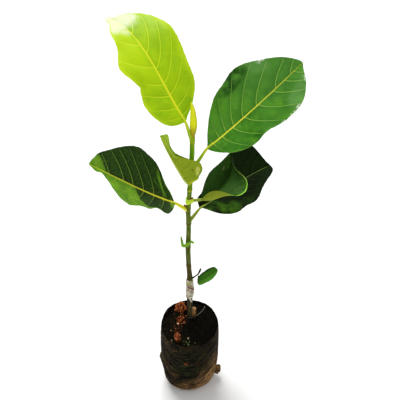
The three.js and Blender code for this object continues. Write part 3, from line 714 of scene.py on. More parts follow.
def vein_phase(leaf, share, across, side_mm):
    """A number that is whole on each side vein: veins sweep forward as they leave the midrib."""
    phase = np.zeros(share.shape)
    for is_left in (True, False):
        starts = leaf.get("veins_left" if is_left else "veins_right", EVEN_VEINS)
        step = starts[1] - starts[0]
        starts = [starts[0] - 2 * step, starts[0] - step, *starts,
                  2 * starts[-1] - starts[-2], 3 * starts[-1] - 2 * starts[-2]]
        lean, growth = leaf["sweep"][0 if is_left else 1]
        forward = side_mm**1.5 / leaf["long"]
        source = (share - lean * forward) / (1 + growth * forward)
        number = np.interp(source, starts, np.arange(len(starts)))
        phase = np.where((across >= 0) == is_left, number, phase)
    return phase


def blade(name, leaf, material):
    """A thin closed blade: quilted between its veins, with the veins raised below."""
    rows, columns = BLADE_GRID if leaf["long"] > SMALL_BLADE["below"] else SMALL_BLADE["grid"]
    even = (1 - np.cos(math.pi * np.linspace(0, 1, rows + 1))) / 2
    even = 0.75 * even + 0.25 * np.linspace(0, 1, rows + 1)
    share, across = np.meshgrid(even, np.linspace(-1, 1, columns + 1), indexing="ij")
    flat = blade_point(leaf, share, across)
    along_it = np.gradient(flat, axis=0)
    across_it = np.gradient(flat, axis=1)
    normal = np.cross(along_it, across_it)
    normal /= np.linalg.norm(normal, axis=-1)[..., None]
    out = np.abs(across)
    side_mm = out * blade_width(leaf, share, across)
    phase = vein_phase(leaf, share, across, side_mm)
    slope = np.hypot(np.gradient(phase, axis=0) / np.linalg.norm(along_it, axis=-1),
                     np.gradient(phase, axis=1) / np.linalg.norm(across_it, axis=-1))
    gap = np.clip(1 / np.maximum(slope, 1e-3), 2, 60)
    to_vein = np.abs(phase - np.round(phase)) * gap
    full = np.sin(math.pi * np.minimum(out * 1.15, 1)) ** 0.7
    quilt = leaf["quilt"] * np.abs(np.sin(math.pi * phase)) ** 0.8 * full
    channel = RIB_CHANNEL["deep"] * np.exp(-((side_mm / RIB_CHANNEL["wide"]) ** 2))
    edge_wave = 0.35 * leaf["quilt"] * out**3 * np.cos(FULL_TURN * phase)
    top = flat + normal * (quilt - channel + edge_wave)[..., None]
    ridge = np.exp(-((to_vein / VEIN_RIDGE["wide"]) ** 2)) * (1 - out) ** 0.5
    thick = np.minimum(LEAF_THICK * (0.5 + (1 - out) * 3), LEAF_THICK)
    under = top - normal * (thick + VEIN_RIDGE["high"] * ridge)[..., None]
    count = top.shape[0] * top.shape[1]
    number = np.arange(count).reshape(top.shape[:2])
    low, wing = number[:-1, :-1].ravel(), columns + 1
    sheet = np.stack([low, low + wing, low + wing + 1, low + 1], -1)
    faces = sheet.tolist() + (sheet[:, ::-1] + count).tolist()
    border = [*number[:, 0], *number[-1, 1:], *number[-2::-1, -1], *number[0, -2:0:-1]]
    for a, b in zip(border, border[1:] + border[:1]):
        faces.append([int(a), int(b), int(b) + count, int(a) + count])
    points = np.vstack([top.reshape(-1, 3), under.reshape(-1, 3)])
    piece = mesh_object(name, points, faces, material)
    piece.data.set_sharp_from_angle(angle=math.radians(60))
    spot = stack(share, across, side_mm).reshape(-1, 3)
    set_values(piece, "blade", np.vstack([spot, spot]))
    set_values(piece, "vein", np.vstack([stack(phase, gap, is_top).reshape(-1, 3)
                                         for is_top in (1, 0)]))
    return piece


def stalk(name, leaf, material):
    """The stalk from the stem to the blade, run on below the blade as its rib."""
    start, thick, end = leaf["stalk"]
    if not isinstance(start, tuple):
        x, y, _ = stem_at(start)
        start = (x, y, start)
    start, base = np.array(start), np.array(leaf["base"])
    points = [start, start + (base - start) * STALK_BEND, base]
    radii = [thick * STALK_FOOT, thick, end]
    for i in range(1, RIB_STEPS + 1):
        share = np.array(RIB_REACH * i / RIB_STEPS)
        _, _, up = leaf_frame(leaf, share)
        reach = end * (1 - share) ** 0.8
        points.append(midrib(leaf, share) - up * (leaf.get("sunk", RIB_SUNK) * reach + 0.15))
        radii.append(reach)
    plan = {"path": points, "radii": radii}
    return tapered(name, plan, material, 16 * (len(points) - 1), is_round=False, sides=20,
                   relief=0.25, grain=500, stretch=1.0)


# Materials of the leaves
class LeafFinish(Finish):
    """A leaf's finish, which knows its place on the blade.

    share runs along the blade, across from -1 to 1, and out from the midrib to the margin.
    """

    def __init__(self, name, **fixed):
        super().__init__(name, **fixed)
        self.share, self.across, self.side_mm = self.spread("blade")
        self.phase, self.gap, self.is_top = self.spread("vein")
        self.out = abs(self.across)

    def spot(self, at, reach):
        """A soft patch about one spot of the blade."""
        ahead, aside = (self.share - at[0]) / reach[0], (self.across - at[1]) / reach[1]
        return 1 - (ahead * ahead + aside * aside).rises(0.3, 1.2)

    def spots(self, texture, rows):
        """Broken patches: share and across, their reach, how much, and the tone."""
        for at, reach, much, tone in rows:
            self.lay(self.spot(at, reach) * texture * much, tone)


def leaf_finish(name, face, deep, vein, rib, under, touch=None, last=None, roughness=0.45,
                shine=0.1, show=0.8, edge=0.35, wide=1.0, rib_wide=1.0, panel=0.4, fade=0.5):
    """A leaf: mottled face, a fine net, side veins and midrib, and a paler underside.

    show and wide are for the side veins, panel for the painted shade beside each, edge for the
    painted highlight along the margin, and fade for how far the midrib dims towards the tip.
    """
    leaf = LeafFinish(name, Specular_IOR_Level=shine)
    share, out, phase = leaf.share, leaf.out, leaf.phase
    to_vein = abs((phase + 0.5).fraction() - 0.5) * leaf.gap
    thin = (0.7 - 0.4 * out) * wide
    side_vein = to_vein.falls(thin * 0.35, thin * 1.5) * (1 - out.rises(0.8, 1.0) * 0.7)
    half = (1.4 - 1.15 * share) * rib_wide
    rung = leaf.side_mm * 0.4 + phase.whole() * 0.37 + leaf.grain(90, 2) * 2.5
    rung = abs(rung.fraction() - 0.5).falls(0.03, 0.16) * to_vein.rises(0.3, 1.5)
    net = leaf.cells(300).falls(0.015, 0.09)
    mottle = leaf.grain(45, 4).rises(0.38, 0.62)
    streak = leaf.grain(150, 3)
    leaf.colour = leaf.blend(mottle * 0.9, face, deep)
    leaf.lay(net * 0.2, vein)
    leaf.lay(rung * 0.22, vein)
    leaf.lay(streak.rises(0.4, 0.62) * 0.3, face)
    leaf.lay(leaf.grain(480, 2).rises(0.5, 0.7) * 0.25, deep)
    # Painted shade along each side vein, then painted shade across each panel towards the next
    # vein.
    leaf.lay(to_vein.falls(0.6, 3.2) * (1 - side_vein) * 0.45, deep)
    leaf.lay(phase.fraction().rises(0.4, 1.0) * panel, deep)
    if touch:
        touch(leaf)
    leaf.lay(leaf.grain(260, 1).rises(0.73, 0.78) * 0.35, vein)
    near_rib = out.falls(0.0, 0.5) * (0.3 - 0.3 * share)
    leaf.lay(side_vein * show, leaf.blend(near_rib, vein, rib))
    leaf.lay(leaf.side_mm.falls(half * 0.55, half * 1.1) * (0.98 - fade * share), rib)
    if last:
        last(leaf)
    # Painted highlight along the margin.
    leaf.lay(out.rises(0.965, 1.0) * edge * mottle, vein)
    top = leaf.colour
    leaf.colour = leaf.blend(mottle * 0.6, under[0], under[1])
    leaf.lay(streak.rises(0.45, 0.6) * 0.3, under[0])
    leaf.lay(side_vein * 0.5, under[2])
    if touch in (olive_touch, curled_touch):
        touch(leaf)
    leaf.lay(leaf.is_top, top)
    relief = net * 0.6 + rung * 0.5 + leaf.grain(420, 3) * 0.5 - side_vein * 0.6
    return leaf.done(relief, 0.22, 0.6, roughness + 0.16 * (streak - 0.5) + 0.2 * (1 - leaf.is_top))


def lime_touch(leaf):
    """The young leaf is yellower on its left half and greener at its foot."""
    leaf.lay(leaf.across.rises(-0.05, 0.3) * leaf.share.rises(0.2, 0.6), (184, 218, 4))
    leaf.lay(leaf.out.rises(0.8, 1.0) * 0.5, (204, 230, 30))
    leaf.lay(leaf.spot((0.06, -0.6), (0.09, 0.6)) * 0.35, (112, 166, 6))


def lime_tip_highlight(leaf):
    """A painted highlight washes out the young leaf's tip, over its veins too."""
    wobble = (leaf.grain(70, 3) - 0.5) * 0.12
    left = leaf.across.rises(-0.1, 0.1)
    line = 0.75 + 0.1 * leaf.out * leaf.out * (1 - left * 0.6) + 0.03 * (1 - left)
    mask = (leaf.share + wobble - line).rises(-0.03, 0.05) * leaf.out.falls(0.86, 0.97)
    leaf.lay(mask * 0.8, (238, 242, 206))


def green_touch(leaf):
    """A cooler green towards the tip, lighter and darker fields, a painted sheen near the margin
    and painted glints on it.
    """
    share, across = leaf.share, leaf.across
    leaf.lay(share.rises(0.3, 0.8) * (across.rises(-0.6, 0.2) * 0.6 + 0.2) * 0.6, (72, 132, 54))
    field = leaf.grain(26, 2).rises(0.4, 0.62) * (across.rises(-0.3, 0.3) * 0.7 + 0.3)
    leaf.lay(field * 0.4, (86, 148, 52))
    leaf.spots(leaf.grain(60, 4).rises(0.3, 0.6), [
        ((0.3, -0.5), (0.3, 0.6), 0.6, (44, 112, 10)),
        ((0.22, 0.35), (0.2, 0.5), 0.35, (84, 150, 40)),
        ((0.5, 0.88), (0.18, 0.26), 0.9, (18, 70, 8)),
        ((0.36, -0.92), (0.12, 0.2), 0.6, (24, 80, 10))])
    # Painted sheen near the margin and painted glints on it.
    painted_sheen, painted_glint = (136, 184, 112), (226, 236, 210)
    leaf.spots(1, [((0.84, -0.75), (0.14, 0.35), 0.22, painted_sheen),
                   ((0.74, 0.85), (0.09, 0.3), 0.22, painted_sheen)])
    leaf.spots(leaf.grain(260, 3).rises(0.35, 0.6), [
        ((0.785, 0.985), (0.026, 0.05), 1, painted_glint), ((0.76, 0.93), (0.02, 0.08), 0.35, painted_glint),
        ((0.93, -0.9), (0.02, 0.08), 0.8, painted_glint), ((0.61, -0.98), (0.02, 0.03), 0.8, painted_glint),
        ((0.755, -0.96), (0.03, 0.04), 0.8, painted_glint), ((0.7, -0.97), (0.03, 0.03), 0.6, painted_glint)])


def olive_touch(leaf):
    """A pale worn patch, one brown spot, a yellow foot and a painted highlight along the inner rim
    of the folded leaf.
    """
    share = leaf.share
    leaf.spots(leaf.grain(170, 3).rises(0.25, 0.6), [
        ((0.2, 0.8), (0.1, 0.13), 0.8, (200, 206, 100))])
    leaf.lay(leaf.spot((0.265, 0.545), (0.018, 0.05)) * 0.9, (92, 62, 12))
    # Painted highlight along the inner rim of the fold.
    rim = abs(leaf.out - 0.66).falls(0.05, 0.14) * share.within(0.55, 0.65, 0.86, 0.92)
    leaf.lay(rim * 0.55, (170, 214, 90))
    leaf.lay(share.rises(0.72, 0.95) * 0.5, (172, 204, 56))
    leaf.lay(share.falls(0.015, 0.06) * 0.6, (206, 206, 40))


def painted_sun_touch(leaf):
    """The lower left leaf: painted sunlight on its near half beyond the middle, at its tip and in
    streaks.
    """
    share, out = leaf.share, leaf.out
    wobble = (leaf.grain(90, 2) - 0.5) * 0.08
    light = leaf.blend(leaf.grain(50, 3).rises(0.35, 0.65), (118, 166, 36), (88, 138, 26))
    light = leaf.blend(leaf.grain(210, 3, 0.65).rises(0.45, 0.65) * 0.5, light, (64, 112, 20))
    near = leaf.across.rises(0.0, 0.03)
    ahead, far = (share + wobble) / 0.478, out + wobble * 0.5
    ahead, far = ahead * ahead, far * far
    patch = (ahead * ahead + far * far).rises(0.84, 0.96).larger(share.falls(0.045, 0.075))
    tip = (share + wobble - 0.775 - 0.18 * out**0.6).rises(-0.01, 0.015)
    root = (share - 0.1).larger(0.0) ** 0.5
    main = abs(out - 1.95 * root + wobble).falls(0.05, 0.15) * share.within(0.1, 0.12, 0.25, 0.31)
    border = out.rises(0.86, 0.95) * share.falls(0.14, 0.24)
    fine = abs(out - 0.3 - 0.7 * share).falls(0.012, 0.035) * share.within(0.18, 0.2, 0.28, 0.31)
    streaks = main.larger(border).larger(fine * 0.6) * 0.85
    # Painted sunlight over the shaded face.
    leaf.lay((tip.larger(streaks) * (1 - near)).larger(near * patch), light)


def deep_touch(leaf):
    """The near half of the dark leaf catches the light in places."""
    # Painted shadow over the middle of the near half; the spots below are painted light.
    leaf.lay(leaf.spot((0.55, -0.4), (0.25, 0.4)) * 0.7, (8, 16, 4))
    light = (73, 119, 26)
    leaf.spots(leaf.grain(60, 3).rises(0.3, 0.7), [
        ((0.23, -0.72), (0.12, 0.3), 0.6, light), ((0.42, -0.8), (0.09, 0.2), 0.15, light),
        ((0.12, -0.6), (0.14, 0.6), 0.75, light)])


def curled_touch(leaf):
    """The curled leaf: paler towards its rolled rim, a painted highlight along that rim and a
    scratch near the tip.
    """
    share, across, out = leaf.share, leaf.across, leaf.out
    near = across.falls(-0.05, 0.0)
    mottle = leaf.grain(80, 4, 0.65).rises(0.35, 0.65)
    bowl = out.rises(0.5, 0.97) * near * share.within(0.25, 0.4, 0.75, 0.9)
    leaf.lay(bowl * (0.1 + 0.45 * mottle), (60, 104, 28))
    leaf.lay(across.rises(0.1, 0.6) * mottle * 0.6, (60, 98, 36))
    past = (share - 0.57).larger(0.0)
    line = out - 0.985 + 12 * past * past
    leaf.lay(line.rises(0.01, 0.03) * near * share.rises(0.58, 0.64), (26, 44, 14))
    # Painted highlight along the rolled rim, brighter towards the tip.
    rim = abs(line).falls(0.012, 0.035) * near * share.within(0.2, 0.3, 0.76, 0.79)
    leaf.lay(rim, leaf.blend(share.rises(0.55, 0.66), (150, 208, 72), (214, 255, 120)))
    leaf.spots(leaf.grain(160, 2).rises(0.3, 0.55), [
        ((0.82, 0.2), (0.12, 0.16), 0.9, (92, 138, 46))])
    leaf.spots(leaf.grain(300, 2).rises(0.42, 0.55), [
        ((0.74, 0.45), (0.1, 0.05), 0.8, (150, 150, 92))])


def small_touch(leaf):
    """The small low leaf is lighter on its lower half and dark along its upper margin."""
    leaf.lay(leaf.across.falls(-0.7, -0.1) * 0.5, (84, 150, 20))
    leaf.lay(leaf.across.rises(0.5, 0.9) * 0.85, (20, 38, 16))


# Each leaf's tones: face, deep face, side veins, midrib, and three of its underside
LEAF_TONES = {
    "leaf_top_left": dict(
        name="leaf_lime", face=(166, 208, 2), deep=(142, 189, 2), vein=(216, 236, 30),
        rib=(255, 250, 30), under=[(170, 200, 30), (156, 188, 24), (196, 216, 50)],
        touch=lime_touch, last=lime_tip_highlight, roughness=0.36, show=0.7, wide=1.2, panel=0.2,
        fade=0.15, rib_wide=1.35),
    "leaf_top_right": dict(
        name="leaf_green", face=(82, 150, 32), deep=(44, 110, 16), vein=(148, 194, 76),
        rib=(254, 250, 76), under=[(108, 148, 50), (94, 136, 42), (150, 180, 76)],
        touch=green_touch, roughness=0.4, show=0.8, panel=0.6, wide=0.85, fade=0.3,
        rib_wide=1.1),
    "leaf_folded_front": dict(
        name="leaf_olive", face=(124, 156, 20), deep=(104, 142, 14), vein=(176, 200, 50),
        rib=(206, 214, 40), under=[(132, 152, 16), (114, 138, 12), (156, 176, 36)],
        touch=olive_touch, roughness=0.5, show=0.5),
    # The lower left leaf's dark face tones are its green deepened by painted shade; its touch
    # paints the sunlit parts.
    "leaf_lower_left": dict(
        name="leaf_painted_sun_shade", face=(23, 54, 8), deep=(15, 43, 6), vein=(128, 170, 58),
        rib=(255, 255, 60), under=[(92, 134, 44), (80, 122, 38), (130, 162, 66)],
        touch=painted_sun_touch, roughness=0.42, show=0.65, fade=0.05, rib_wide=1.35),
    "leaf_lower_right": dict(
        name="leaf_deep", face=(14, 28, 6), deep=(9, 19, 4), vein=(44, 70, 22),
        rib=(104, 126, 58), under=[(60, 92, 30), (52, 82, 26), (90, 118, 46)],
        touch=deep_touch, roughness=0.62, show=0.35, shine=0.02),
    "leaf_curled_right": dict(
        name="leaf_curled", face=(59, 95, 37), deep=(43, 72, 28), vein=(66, 106, 38),
        rib=(62, 92, 34), under=[(132, 146, 40), (112, 128, 28), (152, 164, 60)],
        touch=curled_touch, roughness=0.5, show=0.4, shine=0.03, edge=0.1, panel=0.65),
    "leaf_small_low": dict(
        name="leaf_small", face=(50, 108, 10), deep=(36, 84, 8), vein=(84, 138, 30),
        rib=(84, 136, 34), under=[(100, 140, 50), (90, 128, 44), (130, 164, 70)],
        touch=small_touch, roughness=0.5, show=0.3, edge=0.6),
}
# Each stalk's tones: foot, top and dark streaks
STALK_TONES = {
    "leaf_top_left": ("stalk_lime", (170, 204, 20), (226, 234, 40), (130, 176, 16)),
    "leaf_top_right": ("stalk_green", (156, 196, 24), (240, 236, 60), (140, 180, 24)),
    "leaf_folded_front": ("stalk_olive", (160, 176, 40), (170, 186, 50), (120, 140, 30)),
    "leaf_lower_left": ("stalk_yellow", (220, 218, 36), (226, 222, 52), (168, 176, 30)),
    "leaf_lower_right": ("stalk_dull", (134, 150, 34), (150, 166, 54), (110, 128, 28)),
    "leaf_curled_right": ("stalk_curled", (150, 164, 40), (146, 160, 54), (110, 126, 32)),
    "leaf_small_low": ("stalk_small", (60, 70, 30), (90, 130, 44), (50, 60, 24)),
}
# The stem's tones by height
BARK_TONES = [
    (140, (62, 52, 34)), (180, (50, 42, 26)), (232, (58, 54, 24)), (255, (72, 66, 24)),
    (285, (72, 90, 18)), (345, (80, 102, 18)), (375, (92, 112, 20)), (415, (106, 140, 18)),
    (440, (98, 156, 14)), (475, (114, 174, 12)), (490, (156, 186, 20))]
BARK_SPAN = (140, 500)


# Materials of the stem, the bag and the soil
def stalk_finish(name, foot, top, dark):
    finish = Finish(name, Roughness=0.5, Specular_IOR_Level=0.25)
    run = finish.add("ShaderNodeAttribute", {"attribute_name": "run"}, output="Fac")
    finish.colour = finish.blend(run.rises(0.05, 0.3), foot, top)
    finish.lay(finish.grain(220, 3).rises(0.5, 0.75) * 0.5, dark)
    return finish.done(finish.grain(900, 2), 0.15)


def bark_finish():
    """The stem's skin by height: brown rootstock, olive wood, then green shoots with ring scars,
    and painted light down the shoots' right side.
    """
    finish = Finish("bark", Specular_IOR_Level=0.08)
    side, height = finish.axis(0), finish.axis(2)
    lines = finish.grain(420, 4, vector=finish.stretched(0.16))
    low, high = BARK_SPAN
    stops = [((z - low) / (high - low), paint(*c)) for z, c in BARK_TONES]
    place = (height + (finish.grain(130, 3) - 0.5) * 16 - low) / (high - low)
    finish.colour = finish.add("ShaderNodeValToRGB", {"stops": stops}, {"Fac": place})
    # Painted light down the right side of the stem from the green part up.
    middle = 0.3 + (height - 264).larger(0.0) * 0.037
    lit = (side - middle).rises(0.5, 3.2) * height.rises(250, 330)
    finish.lay(lit * 0.6, (150, 184, 20))
    woody = height.falls(250, 420)
    finish.lay(lines.rises(0.5, 0.72) * (woody * 0.55 + 0.12), (150, 138, 92))
    finish.lay((1 - lines).rises(0.52, 0.7) * (woody * 0.6 + 0.1), (38, 34, 18))
    for z, _, half in SCARS:
        tone = (190, 190, 50) if z > GREEN_SCARS_FROM else (92, 56, 24)
        finish.lay(abs(height - z).falls(half * 0.5, half * 1.5) * 0.7, tone)
    pores = finish.cells(520, "F1").falls(0.1, 0.2) * woody
    finish.lay(pores * 0.7, (172, 160, 120))
    return finish.done(lines + pores * 0.4, 0.35, 0.9, 0.55 + woody * 0.25)


def wood_finish(name, main, pale, dark, roughness=0.8):
    finish = Finish(name, Roughness=roughness, Specular_IOR_Level=0.2)
    lines = finish.grain(500, 4, vector=finish.stretched(0.3))
    finish.colour = finish.blend(lines.rises(0.45, 0.7), main, pale)
    finish.lay(finish.grain(260, 3).rises(0.55, 0.72), dark)
    return finish.done(lines, 0.3)


def tape_finish():
    """Milky stretched film with darker laps and one rust-brown band."""
    finish = Finish("tape", Coat_Weight=0.3, Coat_Roughness=0.25)
    turn, height, _ = finish.spread("wrap")
    cloud = finish.grain(240, 3)
    finish.colour = finish.blend(cloud.rises(0.4, 0.62), (214, 206, 184), (142, 134, 104))
    finish.lay(turn.fraction().falls(0.02, 0.22) * 0.85, (84, 74, 46))
    stain = finish.grain(330, 2).rises(0.52, 0.62) * height.rises(196, 206)
    finish.lay(stain * 0.6, (96, 62, 30))
    level = height - 214.5 + finish.axis(0) * 0.8 + (cloud - 0.5) * 8
    finish.lay(abs(level).falls(1.3, 2.9), (104, 38, 18))
    green = height.rises(215, 219) * finish.grain(160, 2).rises(0.45, 0.6)
    finish.lay(green * 0.75, (150, 156, 60))
    relief = cloud + finish.grain(800, 2) * 0.4
    return finish.done(relief, 0.25, roughness=0.4 + cloud * 0.2)


def bag_finish():
    """Black film with algae, painted shade in its creases and fold lines, and dust and dried clay
    on its lower part.
    """
    finish = Finish("bag_film", Specular_IOR_Level=0.02)
    crease, level, turn = finish.spread("crease")
    side, height = finish.axis(0), finish.axis(2)
    cloud = finish.grain(32, 5, 0.6)
    fine = finish.grain(380, 4, 0.6)
    fold = finish.add("ShaderNodeCombineXYZ", {}, {0: level, 1: turn * 0.12, 2: 0.0})
    lines = finish.grain(270, 5, 0.7, fold)
    wrinkle = finish.grain(160, 4, 0.7, fold)
    low = (height - side * 0.9 + (cloud - 0.5) * 70).falls(-30, 62)
    sides = abs(side - 4).rises(8, 42)
    finish.colour = finish.blend(cloud.rises(0.4, 0.65), (11, 9, 5), (24, 20, 11))
    finish.lay(low * 0.9, (194, 146, 100))
    brown = low * 0.6 + sides * 0.5 * height.falls(50, 100) + sides * 0.08
    finish.lay(wrinkle.rises(0.5, 0.57) * brown, (122, 92, 54))
    finish.lay(crease.rises(0.45, 0.85) * (low * 0.65 + 0.1) * 0.8, (118, 96, 60))
    # Painted shade in the crease valleys.
    finish.lay((1 - crease).rises(0.42, 0.75) * 0.9, (6, 5, 4))
    algae = finish.grain(55, 4).rises(0.36, 0.54) * abs(height - 86).falls(15, 55)
    finish.lay(algae * (1 - sides * 0.8) * 0.75, (23, 36, 14))
    spill = height.rises(108, 138) * side.falls(-28, 0)
    finish.lay(fine.rises(0.54, 0.6) * (low * 0.75 + 0.08 + spill * 0.3), (168, 132, 84))
    # Painted shade along the fine fold lines.
    finish.lay(lines.rises(0.48, 0.53) * (0.92 - 0.15 * low), (5, 4, 3))
    threads = finish.grain(520, 4, 0.7, fold).rises(0.56, 0.62)
    finish.lay(threads * (low * 0.5 + 0.04), (176, 146, 100))
    spots = finish.grain(150, 2).rises(0.68, 0.74) * abs(height - 70).falls(20, 50)
    aside = (side + 5.5 + (fine - 0.5) * 6) / 3.2
    above = (height - 91 + (cloud - 0.5) * 8) / 3.4
    spots = spots.larger((aside * aside + above * above).falls(0.5, 1.1))
    finish.lay(spots * 0.75, (126, 60, 32))
    relief = 1 - lines + fine * 0.4 + wrinkle
    return finish.done(relief, 1.0, 1.2, 0.5 + low * 0.3 + fine * 0.15)


def earth_finish(name, main, pale, dark, scale=400, roughness=0.95, shaded_right=False, speck=None):
    finish = Finish(name, Roughness=roughness, Specular_IOR_Level=0.03)
    coarse = finish.grain(scale * 0.35, 4, 0.6)
    fine = finish.grain(scale, 5, 0.7)
    finish.colour = finish.blend(coarse.rises(0.42, 0.64), main, dark)
    grains = fine.rises(0.57, 0.66) * 0.85
    # Painted shade: the pale grains fade out towards the right.
    if shaded_right:
        left = (finish.axis(0) + (coarse - 0.5) * 40).falls(-20, 2)
        grains = grains * (0.15 + 0.85 * left)
    finish.lay(grains, pale)
    if speck:
        finish.lay(finish.grain(scale * 1.2, 2).rises(0.48, 0.56) * 0.9, speck)
    return finish.done(fine + coarse * 0.5, 0.6)


cut_wood = wood_finish("cut_wood", (136, 96, 54), (196, 160, 104), (66, 42, 24))
brown_bud = wood_finish("brown_bud", (110, 58, 30), (150, 84, 44), (66, 38, 22), 0.6)
rootlet_skin = wood_finish("rootlet", (112, 104, 88), (150, 142, 124), (66, 58, 46))
bud_skin = stalk_finish("bud", (180, 162, 22), (236, 238, 10), (188, 196, 8))
twig_skin = stalk_finish("twig", (70, 72, 28), (30, 42, 22), (44, 48, 24))
bract_skin = stalk_finish("bract", (140, 190, 36), (190, 222, 50), (104, 156, 24))
clasp_skin = stalk_finish("clasping_bract", (96, 130, 26), (120, 168, 30), (64, 104, 18))
tape_film = tape_finish()
bag_film = bag_finish()
# The soil's near-black tones are dark earth deepened by painted shade.
soil_skin = earth_finish("soil", (12, 11, 7), (90, 64, 38), (7, 6, 4), shaded_right=True)
crumb_skin = earth_finish("soil_crumbs", (15, 14, 9), (118, 84, 50), (8, 7, 5), 700,
                          shaded_right=True)
clod_skin = earth_finish("clod", (72, 34, 18), (150, 80, 44), (16, 10, 6), 380)
clay_skin = earth_finish("clay", (208, 116, 62), (250, 180, 118), (140, 62, 40), 560,
                         speck=(44, 24, 14))
pebble_skin = earth_finish("pebble", (150, 134, 96), (184, 168, 128), (104, 88, 60), 600, 0.8)
peach_pebble = earth_finish("peach_pebble", (236, 178, 134), (246, 214, 180), (190, 120, 80),
                            600, 0.8)
moss_skin = earth_finish("moss", (128, 150, 92), (176, 190, 136), (66, 88, 44), 700)


# Pieces
def place(piece, slot, *nodes):
    """A finished piece rides on the plant's one body and stands for the nodes it replaces."""
    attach(piece, "root")
    if nodes:
        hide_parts(*nodes)


def make_bag():
    """The film: creased outside, a thin rolled lip, smooth inside down to the floor."""
    angle = round_angles(BAG_SIDES)
    girth = BAG_PLAN["across"][-1]
    rise = CREASE["slope"] * girth * (1 - np.cos(angle - math.radians(CREASE["sag_at"])))
    no_push = np.zeros(BAG_SIDES)
    rings, creases, levels = [], [], []

    def crease_at(x, y, z, strength):
        level = z - rise
        rows = []
        for k in range(BAG_SIDES):
            apart = CREASE["bend_apart"]
            at = (x[k] / apart, y[k] / apart, z[k] / apart + 7)
            bend = noise.noise(Vector(at)) * CREASE["bend"]
            spot = Vector((x[k] / CREASE["long"], y[k] / CREASE["long"],
                           (level[k] + bend) / CREASE["apart"]))
            wide = 1 - 2.2 * abs(noise.noise(spot))
            fine = 1 - 2.2 * abs(noise.noise(spot * 2.3 + Vector((3, 5, 9))))
            cell = Vector((x[k], y[k], z[k])) / CREASE["crumple_apart"]
            near, next_near = noise.voronoi(cell)[0][:2]
            crumple = 1 - min(1, (next_near - near) / 0.35)
            rows.append((wide * CREASE["depth"] + fine * CREASE["fine"]
                         + crumple * CREASE["crumple"]) * strength)
        return np.array(rows)

    def ring(share, inset, level=None, crease=0.0):
        x, y = bag_wall(angle, share, inset)
        z = share * rim_height(angle) if level is None else np.full(BAG_SIDES, float(level))
        if share > 0.9:
            ragged = [noise.noise(Vector((a * 5, math.sin(a) * 2, 1))) for a in angle]
            z = z + RAGGED_RIM * (share - 0.9) * 10 * np.array(ragged) * np.sin(angle / 2)
        push = crease_at(x, y, z, crease) - crease * 0.8 if crease else no_push
        middle = bag_middle(share)
        reach = np.hypot(x - middle[0], y - middle[1])
        x = x + (x - middle[0]) / reach * push
        y = y + (y - middle[1]) / reach * push
        levels.append(stack(z - rise, angle * girth) * MM)
        return stack(x, y, z), push

    def disc(level, inset, reaches):
        for reach in reaches:
            edge, _ = ring(0, inset, level)
            middle = np.array([*bag_middle(0), level])
            rings.append(middle + (edge - middle) * reach)
            creases.append(no_push)

    disc(0, 0, (0.25, 0.5, 0.75, 0.93))
    for k in range(BAG_ROWS + 1):
        share = (k / BAG_ROWS) ** 1.15
        strength = min(1, share * 22) * (1 - 0.55 * share) * min(1, (1 - share) * 14 + 0.15)
        points, push = ring(share, 0, None if k else 0, strength)
        rings.append(points)
        creases.append(push)
    lip, _ = ring(1, FILM / 2)
    rings.append(lip + (0, 0, LIP_RISE))
    creases.append(no_push)
    for share in np.linspace(1, 0.03, BAG_ROWS_INSIDE):
        rings.append(ring(share, FILM + 1.4 * (1 - share > 0.05))[0])
        creases.append(no_push)
    disc(FILM + 1.5, FILM + 4, (0.9, 0.5, 0.2))
    skin = loft("grow_bag_film", rings, bag_film)
    # Crease shade, high on ridges and low in valleys, from which the film's finish paints shade in
    # the valleys.
    shade = np.clip(0.5 + np.concatenate([*creases, np.zeros(2)]) / 3, 0, 1)
    set_values(skin, "crease", np.column_stack([shade, np.vstack([*levels, np.zeros((2, 2))])]))
    return skin


def lump(name, at, half, spin, material, detail=5, rough=1.0, square=2.0):
    """An uneven lump by the frame's rule, roughened finely."""
    shape = bmesh.new()
    bmesh.ops.create_icosphere(shape, subdivisions=detail, radius=1)
    turn = math.radians(spin)
    for vertex in shape.verts:
        x, y, z = vertex.co
        uneven_by = 1 + 0.12 * math.sin(5 * x + 3 * y) * math.cos(4 * z + y)
        spot = vertex.co * 2.2 + Vector(at)
        uneven_by += 0.10 * rough * noise.fractal(spot, 0.7, 2.1, 5)
        uneven_by += 0.05 * rough * abs(noise.noise(spot * 3))
        fuller = (abs(x) ** square + abs(y) ** square + abs(z) ** square) ** (-1 / square)
        px, py, pz = (c * h * uneven_by * fuller for c, h in zip((x, y, z), half))
        vertex.co = (px * math.cos(turn) - py * math.sin(turn) + at[0],
                     px * math.sin(turn) + py * math.cos(turn) + at[1], pz + at[2])
        vertex.co *= MM
    mesh = bpy.data.meshes.new(name)
    shape.to_mesh(mesh)
    shape.free()
    mesh.materials.append(material)
    mesh.shade_smooth()
    return new_piece(name, mesh)


